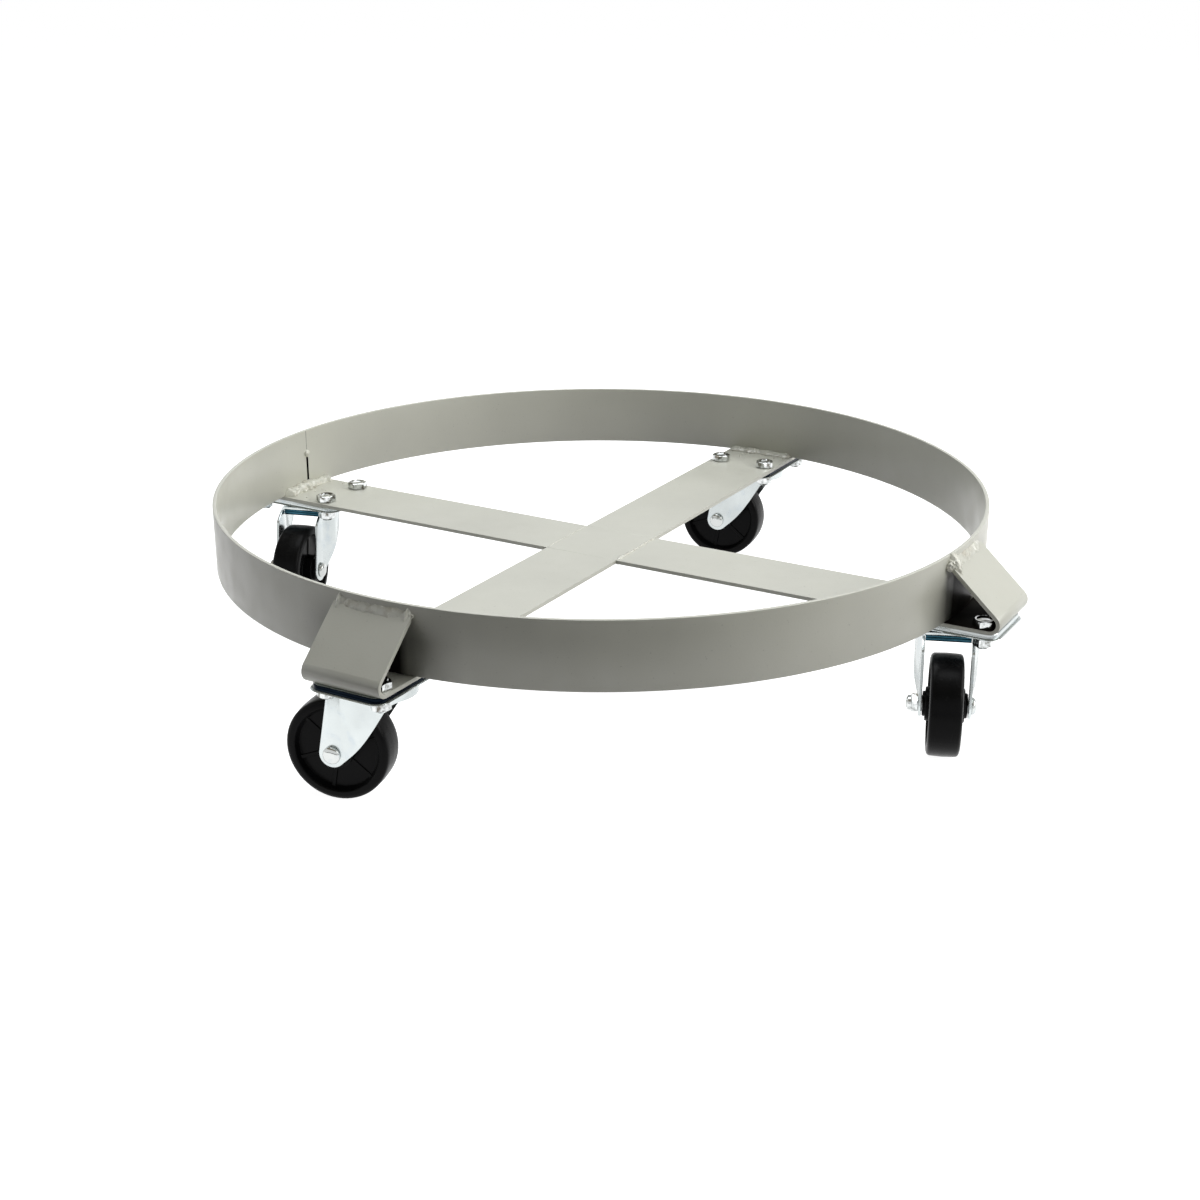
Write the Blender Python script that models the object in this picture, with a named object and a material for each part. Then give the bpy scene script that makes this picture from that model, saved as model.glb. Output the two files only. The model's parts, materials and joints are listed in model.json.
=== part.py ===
"""Drum dolly: a flat steel ring on a welded cross, carried by four swivel casters.

Row frame: origin on the floor under the centre of the ring, +Z up, metres.  The two crossing bars
run at 45 degrees to X and Y, so +X is right and +Y is back.
"""

from math import asin, atan2, cos, hypot, pi, radians, sin

import bmesh
import bpy
from mathutils import Matrix, Vector

# Fit between pieces that touch, and how far a cutter passes the faces that it cuts
GAP = 0.0003
CUT_PAST = 0.003

# Whole object
TOTAL_HEIGHT = 0.1524
RING_RADIUS = 0.3048

# Ring: a flat strip rolled on edge
RING_WALL = 0.003
RING_HEIGHT = 0.0508
RING_SIDES = 96
SLIT_WIDTH = 0.0011
SLIT_HEIGHT = 0.029
SLIT_ANGLE = 134.2

# Cross bars: flat strip, folded up outside the ring, with scribed lines where the half bars meet
BAR_WIDTH = 0.0635
BAR_THICK = 0.003
FOLD_CENTRE = 0.336
FOLD_OUTER = 0.008
FOLD_STEPS = 8
FOLD_TIP_Z = 0.1455
SCRIBE = 0.0002

# Caster positions: where each arm points, and where each caster trails
ARM_ANGLE = {"fl": 225.0, "fr": -45.0, "br": 45.0, "bl": 135.0}
TRAIL_ANGLE = {"fl": 150.0, "fr": 246.0, "br": 143.0, "bl": 241.0}
SWIVEL_RADIUS = 0.2955

# Mounting plate and its bolts
PLATE_LENGTH = 0.092
PLATE_WIDTH = 0.0603
PLATE_THICK = 0.0048
PLATE_CORNER = 0.009
BOLT_SPACING_LONG = 0.068
BOLT_SPACING_WIDE = 0.0445
BOLT_RADIUS = 0.004
BOLT_HEX = 0.013
BOLT_HEAD = 0.0053
BOLT_STUB = 0.002
NUT_HEIGHT = 0.0065
BOLT_SIDES = 12

# Swivel: ball race, fork and kingpin
RACE_HEIGHT = 0.0019
RACE_INNER = 0.0165
RACE_OUTER = 0.0225
RACE_SIDES = 24
FORK_THICK = 0.0021
FORK_BEND = 0.0032
FORK_BACK_RADIUS = 0.0235
FORK_LEG_Y = 0.0190
FORK_TAPER_START = 0.004
FORK_TAPER_END = 0.0245
FORK_SHOULDER_Z = 0.0800
FORK_SHOULDER_X = 0.0355
FORK_SKIRT_Z = 0.0825
FORK_KNEE = (-0.0165, 0.0750)
FORK_EYE_ANGLE = -138.0
FORK_BACK_BOW = 0.09
FORK_TIP_RISE = 0.001
KINGPIN_RADIUS = 0.0055
KINGPIN_HEAD_RADIUS = 0.0095
KINGPIN_HEAD = 0.0032
KINGPIN_DOME = ((0.55, 1.0), (0.90, 0.65), (1.0, 0.0))
PIN_SIDES = 16

# Wheel and axle
TRAIL = 0.033
WHEEL_RADIUS = 0.0381
WHEEL_WIDTH = 0.024
WHEEL_SIDES = 32
HUB_LENGTH = 0.0324
HUB_RADIUS = 0.0093
HUB_STEP_RADIUS = 0.0125
HUB_STEP_LENGTH = 0.0284
WEB_WIDTH = 0.0120
RIM_INNER = 0.0300
RIM_DRAFT = 0.0015
TREAD_ROUND = 0.0025
TREAD_CUT = 0.00075
SLEEVE_RADIUS = 0.0060
AXLE_RADIUS = 0.004
AXLE_EYE_RADIUS = 0.0095
AXLE_HEAD_RADIUS = 0.0064
AXLE_HEAD = 0.0036
AXLE_DOME = ((1.0, 0.0), (1.0, 0.35), (0.80, 0.80), (0.40, 1.0))
AXLE_STUB = 0.001
AXLE_CHAMFER = 0.0006
AXLE_NUT = 0.0078
COLLAR_HEIGHT = 0.0025
COLLAR_RADIUS = 0.0053
COLLAR_ROUND = 0.0008
AXLE_SIDES = 16

# Heights that follow from the above
RING_BOTTOM = TOTAL_HEIGHT - RING_HEIGHT
BAR_TOP = RING_BOTTOM - GAP
BAR_BOTTOM = BAR_TOP - BAR_THICK
PLATE_TOP = BAR_BOTTOM - GAP
PLATE_BOTTOM = PLATE_TOP - PLATE_THICK
RACE_TOP = PLATE_BOTTOM - GAP
RACE_BOTTOM = RACE_TOP - RACE_HEIGHT
CROWN_TOP = RACE_BOTTOM - GAP
CROWN_BOTTOM = CROWN_TOP - FORK_THICK
FOLD_INNER = FOLD_OUTER - BAR_THICK


def clear_scene():
    for old in list(bpy.data.objects):
        bpy.data.objects.remove(old, do_unlink=True)


def material(name, colour, roughness, metallic):
    made = bpy.data.materials.new(name)
    made.use_nodes = True
    shader = made.node_tree.nodes["Principled BSDF"]
    shader.inputs["Base Color"].default_value = (*colour, 1.0)
    shader.inputs["Roughness"].default_value = roughness
    shader.inputs["Metallic"].default_value = metallic
    made.diffuse_color = (*colour, 1.0)
    return made


def painted_steel():
    return material("grey_paint", (0.62, 0.62, 0.58), 0.42, 0.0)


def zinc_plate():
    return material("zinc_plated_steel", (0.80, 0.83, 0.86), 0.25, 1.0)


def black_plastic():
    return material("black_plastic", (0.015, 0.015, 0.016), 0.38, 0.0)


def sleeve_steel():
    return material("sleeve_steel", (0.55, 0.55, 0.56), 0.35, 1.0)


def add_object(name, mesh, surface, parent=None, place=None):
    made = bpy.data.objects.new(name, mesh)
    bpy.context.collection.objects.link(made)
    if not mesh.materials:
        mesh.materials.append(surface)
    made.parent = parent
    if place is not None:
        made.matrix_local = place
    return made


def add_empty(name, location, turn):
    made = bpy.data.objects.new(name, None)
    bpy.context.collection.objects.link(made)
    made.location = location
    made.rotation_euler = (0.0, 0.0, turn)
    return made


def finish_mesh(name, shape, smooth_angle=None):
    bmesh.ops.recalc_face_normals(shape, faces=shape.faces)
    mesh = bpy.data.meshes.new(name)
    shape.to_mesh(mesh)
    shape.free()
    if smooth_angle is not None:
        mesh.shade_smooth()
        mesh.set_sharp_from_angle(angle=radians(smooth_angle))
    return mesh


def circle(radius, height, sides):
    return [
        Vector((radius * cos(2.0 * pi * step / sides), radius * sin(2.0 * pi * step / sides), height))
        for step in range(sides)
    ]


def hexagon(across_flats, height, sides):
    """A hexagon on as many points as the circles that it is joined to, with its flats facing X."""
    points = []
    for step in range(sides):
        angle = 2.0 * pi * step / sides
        from_flat = (angle + pi / 6.0) % (pi / 3.0) - pi / 6.0
        reach = across_flats / 2.0 / cos(from_flat)
        points.append(Vector((reach * cos(angle), reach * sin(angle), height)))
    return points


def loft(name, rings, ends, smooth_angle=40.0):
    """Skin a list of rings: capped at both ends, or joined last to first for a piece with a bore."""
    shape = bmesh.new()
    rows = [[shape.verts.new(point) for point in ring] for ring in rings]
    pairs = list(zip(rows, rows[1:]))
    if ends == "capped":
        shape.faces.new(rows[0])
        shape.faces.new(rows[-1])
    else:
        pairs.append((rows[-1], rows[0]))
    for low, high in pairs:
        for here in range(len(low)):
            after = (here + 1) % len(low)
            shape.faces.new((low[here], low[after], high[after], high[here]))
    return finish_mesh(name, shape, smooth_angle)


def extrude_outline(name, outline, depth, smooth_angle=None):
    """A flat outline of 3-D points, swept by the vector depth into a closed solid."""
    shape = bmesh.new()
    face = shape.faces.new([shape.verts.new(point) for point in outline])
    swept = bmesh.ops.extrude_face_region(shape, geom=[face])
    moved = [item for item in swept["geom"] if isinstance(item, bmesh.types.BMVert)]
    bmesh.ops.translate(shape, verts=moved, vec=depth)
    return finish_mesh(name, shape, smooth_angle)


def cut_with(target, cutter):
    cutter.hide_render = True
    cutter.display_type = "WIRE"
    cut = target.modifiers.new("cut_" + cutter.name, "BOOLEAN")
    cut.operation = "DIFFERENCE"
    cut.solver = "EXACT"
    cut.object = cutter


def holes_cutter(name, centres, radius, low, high, sides, parent, axis="Z"):
    """One cutter of parallel round pins, along Z or along Y."""
    shape = bmesh.new()
    turn = Matrix.Identity(4) if axis == "Z" else Matrix.Rotation(pi / 2.0, 4, "X")
    for centre in centres:
        middle = Vector(centre)
        middle[2 if axis == "Z" else 1] = (low + high) / 2.0
        bmesh.ops.create_cone(
            shape,
            cap_ends=True,
            segments=sides,
            radius1=radius,
            radius2=radius,
            depth=high - low,
            matrix=Matrix.Translation(middle) @ turn,
        )
    cutter = bpy.data.objects.new(name, finish_mesh(name, shape))
    bpy.context.collection.objects.link(cutter)
    cutter.parent = parent
    return cutter


def bolt_offsets():
    long_half = BOLT_SPACING_LONG / 2.0
    wide_half = BOLT_SPACING_WIDE / 2.0
    return [
        (long_half, wide_half),
        (long_half, -wide_half),
        (-long_half, wide_half),
        (-long_half, -wide_half),
    ]


def build_ring(surface):
    inner = RING_RADIUS - RING_WALL
    rings = [
        circle(RING_RADIUS, RING_BOTTOM, RING_SIDES),
        circle(RING_RADIUS, TOTAL_HEIGHT, RING_SIDES),
        circle(inner, TOTAL_HEIGHT, RING_SIDES),
        circle(inner, RING_BOTTOM, RING_SIDES),
    ]
    ring = add_object("ring_band", loft("ring_band", rings, "bored"), surface)
    turn = radians(SLIT_ANGLE)
    middle = RING_RADIUS - RING_WALL / 2.0
    shape = bmesh.new()
    bmesh.ops.create_cube(shape, size=1.0)
    bmesh.ops.scale(shape, vec=(4.0 * RING_WALL, SLIT_WIDTH, 2.0 * SLIT_HEIGHT), verts=shape.verts)
    cutter = bpy.data.objects.new("slit_cutter", finish_mesh("slit_cutter", shape))
    bpy.context.collection.objects.link(cutter)
    cutter.location = (middle * cos(turn), middle * sin(turn), RING_BOTTOM)
    cutter.rotation_euler = (0.0, 0.0, turn)
    cut_with(ring, cutter)


def folded_end():
    """Outer and inner faces of the folded end, from the flat to the tip, as (x, z) points.

    The strip turns through a round fold and leans back until its outer face meets the ring.
    """
    centre_z = BAR_BOTTOM + FOLD_OUTER
    tip_x = RING_RADIUS + GAP
    across = tip_x - FOLD_CENTRE
    rise = FOLD_TIP_Z - centre_z
    lean = atan2(rise, across) + asin(FOLD_OUTER / hypot(across, rise))
    faces = []
    for radius in (FOLD_OUTER, FOLD_INNER):
        face = []
        for step in range(FOLD_STEPS + 1):
            angle = -pi / 2.0 + lean * step / FOLD_STEPS
            face.append((FOLD_CENTRE + radius * cos(angle), centre_z + radius * sin(angle)))
        last_x, last_z = face[-1]
        face.append((tip_x, last_z + (tip_x - last_x) * sin(lean) / cos(lean)))
        faces.append(face)
    return faces


def bar_mesh(name, section):
    outline = [Vector((x, -BAR_WIDTH / 2.0, z)) for x, z in section]
    return extrude_outline(name, outline, Vector((0.0, BAR_WIDTH, 0.0)), 30.0)


def bar_bolt_centres(side):
    return [(side * SWIVEL_RADIUS + x, y, 0.0) for x, y in bolt_offsets()]


def cut_bar_holes(bar, sides):
    centres = [centre for side in sides for centre in bar_bolt_centres(side)]
    cutter = holes_cutter(
        bar.name + "_holes", centres, BOLT_RADIUS + GAP,
        BAR_BOTTOM - CUT_PAST, BAR_TOP + CUT_PAST, BOLT_SIDES, bar,
    )
    cut_with(bar, cutter)


def scribed_line(x):
    """A small V across the top of the bar."""
    return [(x + SCRIBE, BAR_TOP), (x, BAR_TOP - SCRIBE), (x - SCRIBE, BAR_TOP)]


def build_long_bar(surface):
    outer, inner = folded_end()
    half = BAR_WIDTH / 2.0
    top = inner[::-1] + scribed_line(half) + scribed_line(-half) + [(-x, z) for x, z in inner]
    section = outer + top + [(-x, z) for x, z in outer[::-1]]
    bar = add_object("cross_bar_long", bar_mesh("cross_bar_long", section), surface)
    bar.rotation_euler = (0.0, 0.0, radians(ARM_ANGLE["br"]))
    cut_bar_holes(bar, (1.0, -1.0))


def build_half_bar(corner, surface):
    outer, inner = folded_end()
    start = BAR_WIDTH / 2.0 + GAP
    section = [(start, BAR_BOTTOM)] + outer + inner[::-1] + [(start, BAR_TOP)]
    bar = add_object("cross_bar_half_" + corner, bar_mesh("cross_bar_half", section), surface)
    bar.rotation_euler = (0.0, 0.0, radians(ARM_ANGLE[corner]))
    cut_bar_holes(bar, (1.0,))


def rounded_rectangle(length, width, corner, height, steps=4):
    points = []
    for turn, (sx, sy) in enumerate(((1, 1), (-1, 1), (-1, -1), (1, -1))):
        for step in range(steps + 1):
            angle = pi / 2.0 * (turn + step / steps)
            x = sx * (length / 2.0 - corner) + corner * cos(angle)
            y = sy * (width / 2.0 - corner) + corner * sin(angle)
            points.append(Vector((x, y, height)))
    return points


def plate_mesh():
    outline = rounded_rectangle(PLATE_LENGTH, PLATE_WIDTH, PLATE_CORNER, PLATE_BOTTOM)
    return extrude_outline("caster_plate", outline, Vector((0.0, 0.0, PLATE_THICK)), 30.0)


def race_mesh():
    soft = RACE_HEIGHT / 4.0
    profile = (
        (RACE_INNER, RACE_BOTTOM),
        (RACE_INNER, RACE_TOP),
        (RACE_OUTER - soft, RACE_TOP),
        (RACE_OUTER, RACE_TOP - soft),
        (RACE_OUTER, RACE_BOTTOM + soft),
        (RACE_OUTER - soft, RACE_BOTTOM),
    )
    rings = [circle(radius, height, RACE_SIDES) for radius, height in profile]
    return loft("ball_race", rings, "bored")


def kingpin_mesh():
    """A domed head under the crown and a plain shank up to the top of the plate."""
    head_top = CROWN_BOTTOM - GAP
    profile = [
        (KINGPIN_HEAD_RADIUS * out, head_top - KINGPIN_HEAD * down) for out, down in KINGPIN_DOME
    ]
    profile += [(KINGPIN_RADIUS, head_top), (KINGPIN_RADIUS, PLATE_TOP - GAP)]
    rings = [circle(radius, height, PIN_SIDES) for radius, height in profile]
    return loft("kingpin", rings, "capped")


def mount_bolt_mesh():
    """Hexagon bolt with its nut run on: head on the bar, nut under the plate, one clamped piece."""
    head_low = BAR_TOP + GAP
    nut_top = PLATE_BOTTOM - GAP
    nut_low = nut_top - NUT_HEIGHT
    chamfer = BOLT_HEX * 0.06
    rings = [
        circle(BOLT_RADIUS, nut_low - BOLT_STUB, BOLT_SIDES),
        circle(BOLT_RADIUS, nut_low, BOLT_SIDES),
        circle(BOLT_HEX / 2.0, nut_low, BOLT_SIDES),
        hexagon(BOLT_HEX, nut_low + chamfer, BOLT_SIDES),
        hexagon(BOLT_HEX, nut_top, BOLT_SIDES),
        circle(BOLT_RADIUS, nut_top, BOLT_SIDES),
        circle(BOLT_RADIUS, head_low, BOLT_SIDES),
        hexagon(BOLT_HEX, head_low, BOLT_SIDES),
        hexagon(BOLT_HEX, head_low + BOLT_HEAD - chamfer, BOLT_SIDES),
        circle(BOLT_HEX / 2.0 - chamfer / 2.0, head_low + BOLT_HEAD, BOLT_SIDES),
    ]
    return loft("mount_bolt", rings, "capped", 25.0)


def fork_half_width(x):
    """Outer half width of the fork: round at the back, drawn in to the legs at the front."""
    if x < 0.0:
        return (FORK_BACK_RADIUS ** 2 - x ** 2) ** 0.5
    share = min(max((x - FORK_TAPER_START) / (FORK_TAPER_END - FORK_TAPER_START), 0.0), 1.0)
    blend = share * share * (3.0 - 2.0 * share)
    return FORK_BACK_RADIUS + (FORK_LEG_Y - FORK_BACK_RADIUS) * blend


def fork_low_edge(x):
    """Lower edge of the pressed sheet, as a height for each x along the trail."""
    eye_x = TRAIL + AXLE_EYE_RADIUS * cos(radians(FORK_EYE_ANGLE))
    eye_z = WHEEL_RADIUS + AXLE_EYE_RADIUS * sin(radians(FORK_EYE_ANGLE))
    if x >= eye_x:
        reach = min(abs(x - TRAIL), AXLE_EYE_RADIUS)
        return WHEEL_RADIUS - (AXLE_EYE_RADIUS ** 2 - reach ** 2) ** 0.5
    knee_x, knee_z = FORK_KNEE
    if x >= knee_x:
        share = (eye_x - x) / (eye_x - knee_x)
        return eye_z + (knee_z - eye_z) * (share - FORK_BACK_BOW * sin(pi * share))
    share = (knee_x - x) / (FORK_BACK_RADIUS + knee_x)
    return knee_z + (FORK_SKIRT_Z - knee_z) * sin(pi / 2.0 * share)


def fork_high_edge(x):
    """Upper edge of a leg: under the crown's bend, down a shoulder, then the front edge."""
    bend_z = CROWN_TOP - FORK_BEND
    if x <= FORK_TAPER_END:
        return bend_z
    if x <= FORK_SHOULDER_X:
        share = (x - FORK_TAPER_END) / (FORK_SHOULDER_X - FORK_TAPER_END)
        return bend_z + (FORK_SHOULDER_Z - bend_z) * share
    share = (x - FORK_SHOULDER_X) / (TRAIL + AXLE_EYE_RADIUS - FORK_SHOULDER_X)
    return FORK_SHOULDER_Z + (WHEEL_RADIUS + FORK_TIP_RISE - FORK_SHOULDER_Z) * share


def fork_path():
    """Stations round the fork in plan, from the tip of one leg round the back to the other tip."""
    eye = [TRAIL + AXLE_EYE_RADIUS * sin(radians(angle)) for angle in (90, 66, 46, 30, 0, -20, -45)]
    taper = [FORK_TAPER_START + (FORK_TAPER_END - FORK_TAPER_START) * step / 4.0 for step in range(5)]
    stations = sorted([0.0, FORK_SHOULDER_X] + taper + eye, reverse=True)
    front = [(x, fork_half_width(x)) for x in stations]
    back = []
    for step in range(1, 12):
        angle = pi / 2.0 + pi * step / 12.0
        back.append((FORK_BACK_RADIUS * cos(angle), FORK_BACK_RADIUS * sin(angle)))
    return front + back + [(x, -y) for x, y in reversed(front)]


def fork_sheet():
    """The outer face of the fork: walls hung from a flat crown through a round bend."""
    shape = bmesh.new()
    path = fork_path()
    low = [shape.verts.new((x, y, fork_low_edge(x))) for x, y in path]
    high = [shape.verts.new((x, y, fork_high_edge(x))) for x, y in path]
    for here in range(len(path) - 1):
        shape.faces.new((high[here], low[here], low[here + 1], high[here + 1]))
    crown = [index for index, (x, y) in enumerate(path) if x <= FORK_TAPER_END + 1e-6]
    rows = [[high[index] for index in crown]]
    for angle in (30.0, 60.0, 90.0):
        inset = FORK_BEND * (1.0 - cos(radians(angle)))
        height = CROWN_TOP - FORK_BEND + FORK_BEND * sin(radians(angle))
        row = []
        for index in crown:
            x, y = path[index]
            back_share = (FORK_BACK_RADIUS - inset) / FORK_BACK_RADIUS
            if x < 0.0:
                point = (x * back_share, y * back_share, height)
            else:
                point = (x, y - inset if y > 0.0 else y + inset, height)
            row.append(shape.verts.new(point))
        rows.append(row)
    for lower, upper in zip(rows, rows[1:]):
        for here in range(len(lower) - 1):
            shape.faces.new((upper[here], lower[here], lower[here + 1], upper[here + 1]))
    shape.faces.new(rows[-1])
    return shape


def fork_mesh():
    """Give the fork's outer face its sheet thickness, inwards."""
    sheet = finish_mesh("fork_sheet", fork_sheet())
    guide = bpy.data.objects.new("fork_guide", sheet)
    bpy.context.collection.objects.link(guide)
    thicken = guide.modifiers.new("thickness", "SOLIDIFY")
    thicken.thickness = FORK_THICK
    thicken.offset = -1.0
    thicken.use_even_offset = True
    graph = bpy.context.evaluated_depsgraph_get()
    mesh = bpy.data.meshes.new_from_object(guide.evaluated_get(graph))
    mesh.name = "fork"
    bpy.data.objects.remove(guide, do_unlink=True)
    mesh.shade_smooth()
    mesh.set_sharp_from_angle(angle=radians(35.0))
    return mesh


def turned_about_y(profile, sides):
    """Rings about the Y axis from (radius, y) points."""
    turn = Matrix.Rotation(-pi / 2.0, 4, "X")
    return [[turn @ point for point in circle(radius, y, sides)] for radius, y in profile]


def wheel_mesh():
    bore = SLEEVE_RADIUS + GAP
    half = [
        (bore, HUB_LENGTH / 2.0),
        (HUB_RADIUS, HUB_LENGTH / 2.0),
        (HUB_STEP_RADIUS, HUB_STEP_LENGTH / 2.0),
        (HUB_STEP_RADIUS, WEB_WIDTH / 2.0),
        (RIM_INNER, WEB_WIDTH / 2.0),
        (RIM_INNER + RIM_DRAFT, WHEEL_WIDTH / 2.0),
        (WHEEL_RADIUS - TREAD_ROUND, WHEEL_WIDTH / 2.0),
        (WHEEL_RADIUS - TREAD_CUT, WHEEL_WIDTH / 2.0 - TREAD_CUT),
        (WHEEL_RADIUS, WHEEL_WIDTH / 2.0 - TREAD_ROUND),
    ]
    profile = half + [(radius, -y) for radius, y in reversed(half)]
    return loft("wheel", turned_about_y(profile, WHEEL_SIDES), "bored", 35.0)


def sleeve_mesh():
    half = FORK_LEG_Y - FORK_THICK - GAP
    bore = AXLE_RADIUS + GAP
    profile = [(bore, half), (SLEEVE_RADIUS, half), (SLEEVE_RADIUS, -half), (bore, -half)]
    return loft("wheel_sleeve", turned_about_y(profile, AXLE_SIDES), "bored")


def axle_bolt_mesh():
    """A shank through fork, sleeve and nut, with a domed head on the +Y side."""
    head_start = FORK_LEG_Y + GAP
    end = -(FORK_LEG_Y + GAP + AXLE_NUT + AXLE_STUB)
    profile = [
        (AXLE_RADIUS - AXLE_CHAMFER, end),
        (AXLE_RADIUS, end + AXLE_CHAMFER),
        (AXLE_RADIUS, head_start),
    ]
    profile += [(AXLE_HEAD_RADIUS * out, head_start + AXLE_HEAD * up) for out, up in AXLE_DOME]
    return loft("axle_bolt", turned_about_y(profile, AXLE_SIDES), "capped")


def axle_nut_mesh():
    """Lock nut: a hexagon with a round collar on its outer end, bored for the axle."""
    start = -(FORK_LEG_Y + GAP)
    end = start - AXLE_NUT
    collar = end + COLLAR_HEIGHT
    bore = AXLE_RADIUS + GAP
    rings = [
        circle(bore, start, BOLT_SIDES),
        hexagon(BOLT_HEX, start, BOLT_SIDES),
        hexagon(BOLT_HEX, collar + COLLAR_ROUND, BOLT_SIDES),
        circle(BOLT_HEX / 2.0, collar, BOLT_SIDES),
        circle(COLLAR_RADIUS, end + COLLAR_ROUND, BOLT_SIDES),
        circle(COLLAR_RADIUS - COLLAR_ROUND, end, BOLT_SIDES),
        circle(bore, end, BOLT_SIDES),
    ]
    turn = Matrix.Rotation(-pi / 2.0, 4, "X")
    return loft("axle_nut", [[turn @ point for point in ring] for ring in rings], "bored", 25.0)


def build_caster(corner, meshes, surfaces):
    arm = radians(ARM_ANGLE[corner])
    centre = (SWIVEL_RADIUS * cos(arm), SWIVEL_RADIUS * sin(arm), 0.0)
    mount = add_empty("mount_" + corner, centre, arm)
    swivel = add_empty("swivel_" + corner, centre, radians(TRAIL_ANGLE[corner]))
    axle = Matrix.Translation((TRAIL, 0.0, WHEEL_RADIUS))

    plate = add_object("caster_plate_" + corner, meshes["plate"], surfaces["zinc"], mount)
    bolt_centres = [(x, y, 0.0) for x, y in bolt_offsets()]
    cut_with(plate, holes_cutter(
        "plate_holes_" + corner, bolt_centres, BOLT_RADIUS + GAP,
        PLATE_BOTTOM - CUT_PAST, PLATE_TOP + CUT_PAST, BOLT_SIDES, mount,
    ))
    cut_with(plate, holes_cutter(
        "plate_bore_" + corner, [(0.0, 0.0, 0.0)], KINGPIN_RADIUS + GAP,
        PLATE_BOTTOM - CUT_PAST, PLATE_TOP + CUT_PAST, PIN_SIDES, mount,
    ))
    add_object("kingpin_" + corner, meshes["kingpin"], surfaces["zinc"], mount)
    add_object("ball_race_" + corner, meshes["race"], surfaces["zinc"], mount)
    for number, (x, y) in enumerate(bolt_offsets(), start=1):
        spot = Matrix.Translation((x, y, 0.0))
        add_object(f"mount_bolt_{corner}_{number}", meshes["bolt"], surfaces["zinc"], mount, spot)

    fork = add_object("fork_" + corner, meshes["fork"], surfaces["zinc"], swivel)
    cut_with(fork, holes_cutter(
        "fork_bore_" + corner, [(0.0, 0.0, 0.0)], KINGPIN_RADIUS + GAP,
        CROWN_BOTTOM - CUT_PAST, CROWN_TOP + CUT_PAST, PIN_SIDES, swivel,
    ))
    cut_with(fork, holes_cutter(
        "fork_eyes_" + corner, [(TRAIL, 0.0, WHEEL_RADIUS)], AXLE_RADIUS + GAP,
        -FORK_LEG_Y - CUT_PAST, FORK_LEG_Y + CUT_PAST, AXLE_SIDES, swivel, "Y",
    ))
    add_object("axle_bolt_" + corner, meshes["axle"], surfaces["zinc"], swivel, axle)
    add_object("axle_nut_" + corner, meshes["nut"], surfaces["zinc"], swivel, axle)
    add_object("wheel_sleeve_" + corner, meshes["sleeve"], surfaces["sleeve"], swivel, axle)
    add_object("wheel_" + corner, meshes["wheel"], surfaces["plastic"], swivel, axle)


def main():
    clear_scene()
    paint = painted_steel()
    surfaces = {"zinc": zinc_plate(), "plastic": black_plastic(), "sleeve": sleeve_steel()}
    build_ring(paint)
    build_long_bar(paint)
    build_half_bar("bl", paint)
    build_half_bar("fr", paint)
    meshes = {
        "plate": plate_mesh(),
        "race": race_mesh(),
        "kingpin": kingpin_mesh(),
        "bolt": mount_bolt_mesh(),
        "fork": fork_mesh(),
        "wheel": wheel_mesh(),
        "sleeve": sleeve_mesh(),
        "axle": axle_bolt_mesh(),
        "nut": axle_nut_mesh(),
    }
    for corner in ARM_ANGLE:
        build_caster(corner, meshes, surfaces)


main()
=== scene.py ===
"""Looks for the drum dolly: painted steel ring and cross, weld beads, zinc plated swivel casters.

Metres, row frame.  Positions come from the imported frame, and the detailed pieces are made around them.
Corners are named as in the photograph: fl and fr in front, br and bl behind.
"""

import json
import random
from math import asin, atan2, cos, pi, radians, sin, sqrt

import bmesh
import bpy
from mathutils import Matrix, Vector, noise


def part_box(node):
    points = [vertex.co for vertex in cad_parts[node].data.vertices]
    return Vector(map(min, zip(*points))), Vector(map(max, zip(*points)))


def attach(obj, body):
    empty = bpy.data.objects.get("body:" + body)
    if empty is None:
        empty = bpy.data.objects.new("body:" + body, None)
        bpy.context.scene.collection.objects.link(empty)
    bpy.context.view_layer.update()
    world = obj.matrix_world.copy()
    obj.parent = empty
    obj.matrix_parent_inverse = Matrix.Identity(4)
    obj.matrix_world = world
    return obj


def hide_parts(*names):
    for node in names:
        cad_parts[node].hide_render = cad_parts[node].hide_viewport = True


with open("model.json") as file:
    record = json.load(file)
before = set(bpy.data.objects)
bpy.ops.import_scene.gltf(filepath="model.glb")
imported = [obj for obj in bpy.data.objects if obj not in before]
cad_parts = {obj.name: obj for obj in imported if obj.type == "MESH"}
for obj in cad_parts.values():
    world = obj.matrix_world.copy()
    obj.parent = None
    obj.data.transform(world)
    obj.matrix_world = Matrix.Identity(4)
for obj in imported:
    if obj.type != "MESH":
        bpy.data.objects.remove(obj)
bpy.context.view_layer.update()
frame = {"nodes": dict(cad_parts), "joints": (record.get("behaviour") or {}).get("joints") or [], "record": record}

CORNERS = ("fl", "fr", "br", "bl")
NODES = frame["nodes"]
JOINTS = {joint["name"]: joint for joint in frame["joints"]}
UP = Vector((0.0, 0.0, 1.0))

# The ring and the bars that it stands on
RING_LOW, RING_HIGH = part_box("ring_band")
RING_RADIUS = RING_HIGH.x
RING_WALL = 0.003
RING_INNER = RING_RADIUS - RING_WALL
RING_BOTTOM = RING_LOW.z
RING_TOP = RING_HIGH.z
RING_EDGE = 0.0005
RING_SIDES = 288
SEAT_Z = frame["record"]["mounts"][0]["pos_m"][2]
BAR_HALF = 0.0635 / 2.0
BAR_THICK = 0.003

# The ring's butt seam stands open up to SEAM_TOP
SEAM_ANGLE = radians(134.2)
SEAM_OUT = Vector((cos(SEAM_ANGLE), sin(SEAM_ANGLE), 0.0))
SEAM_ALONG = Vector((-SEAM_OUT.y, SEAM_OUT.x, 0.0))
SEAM_TOP = RING_BOTTOM + 0.029
SLIT_WIDTH = 0.0026

# Faces of a refined CAD piece above this area are shaded flat, so its rounded edges don't bend their light
FLAT_AREA = 0.0003
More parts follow.
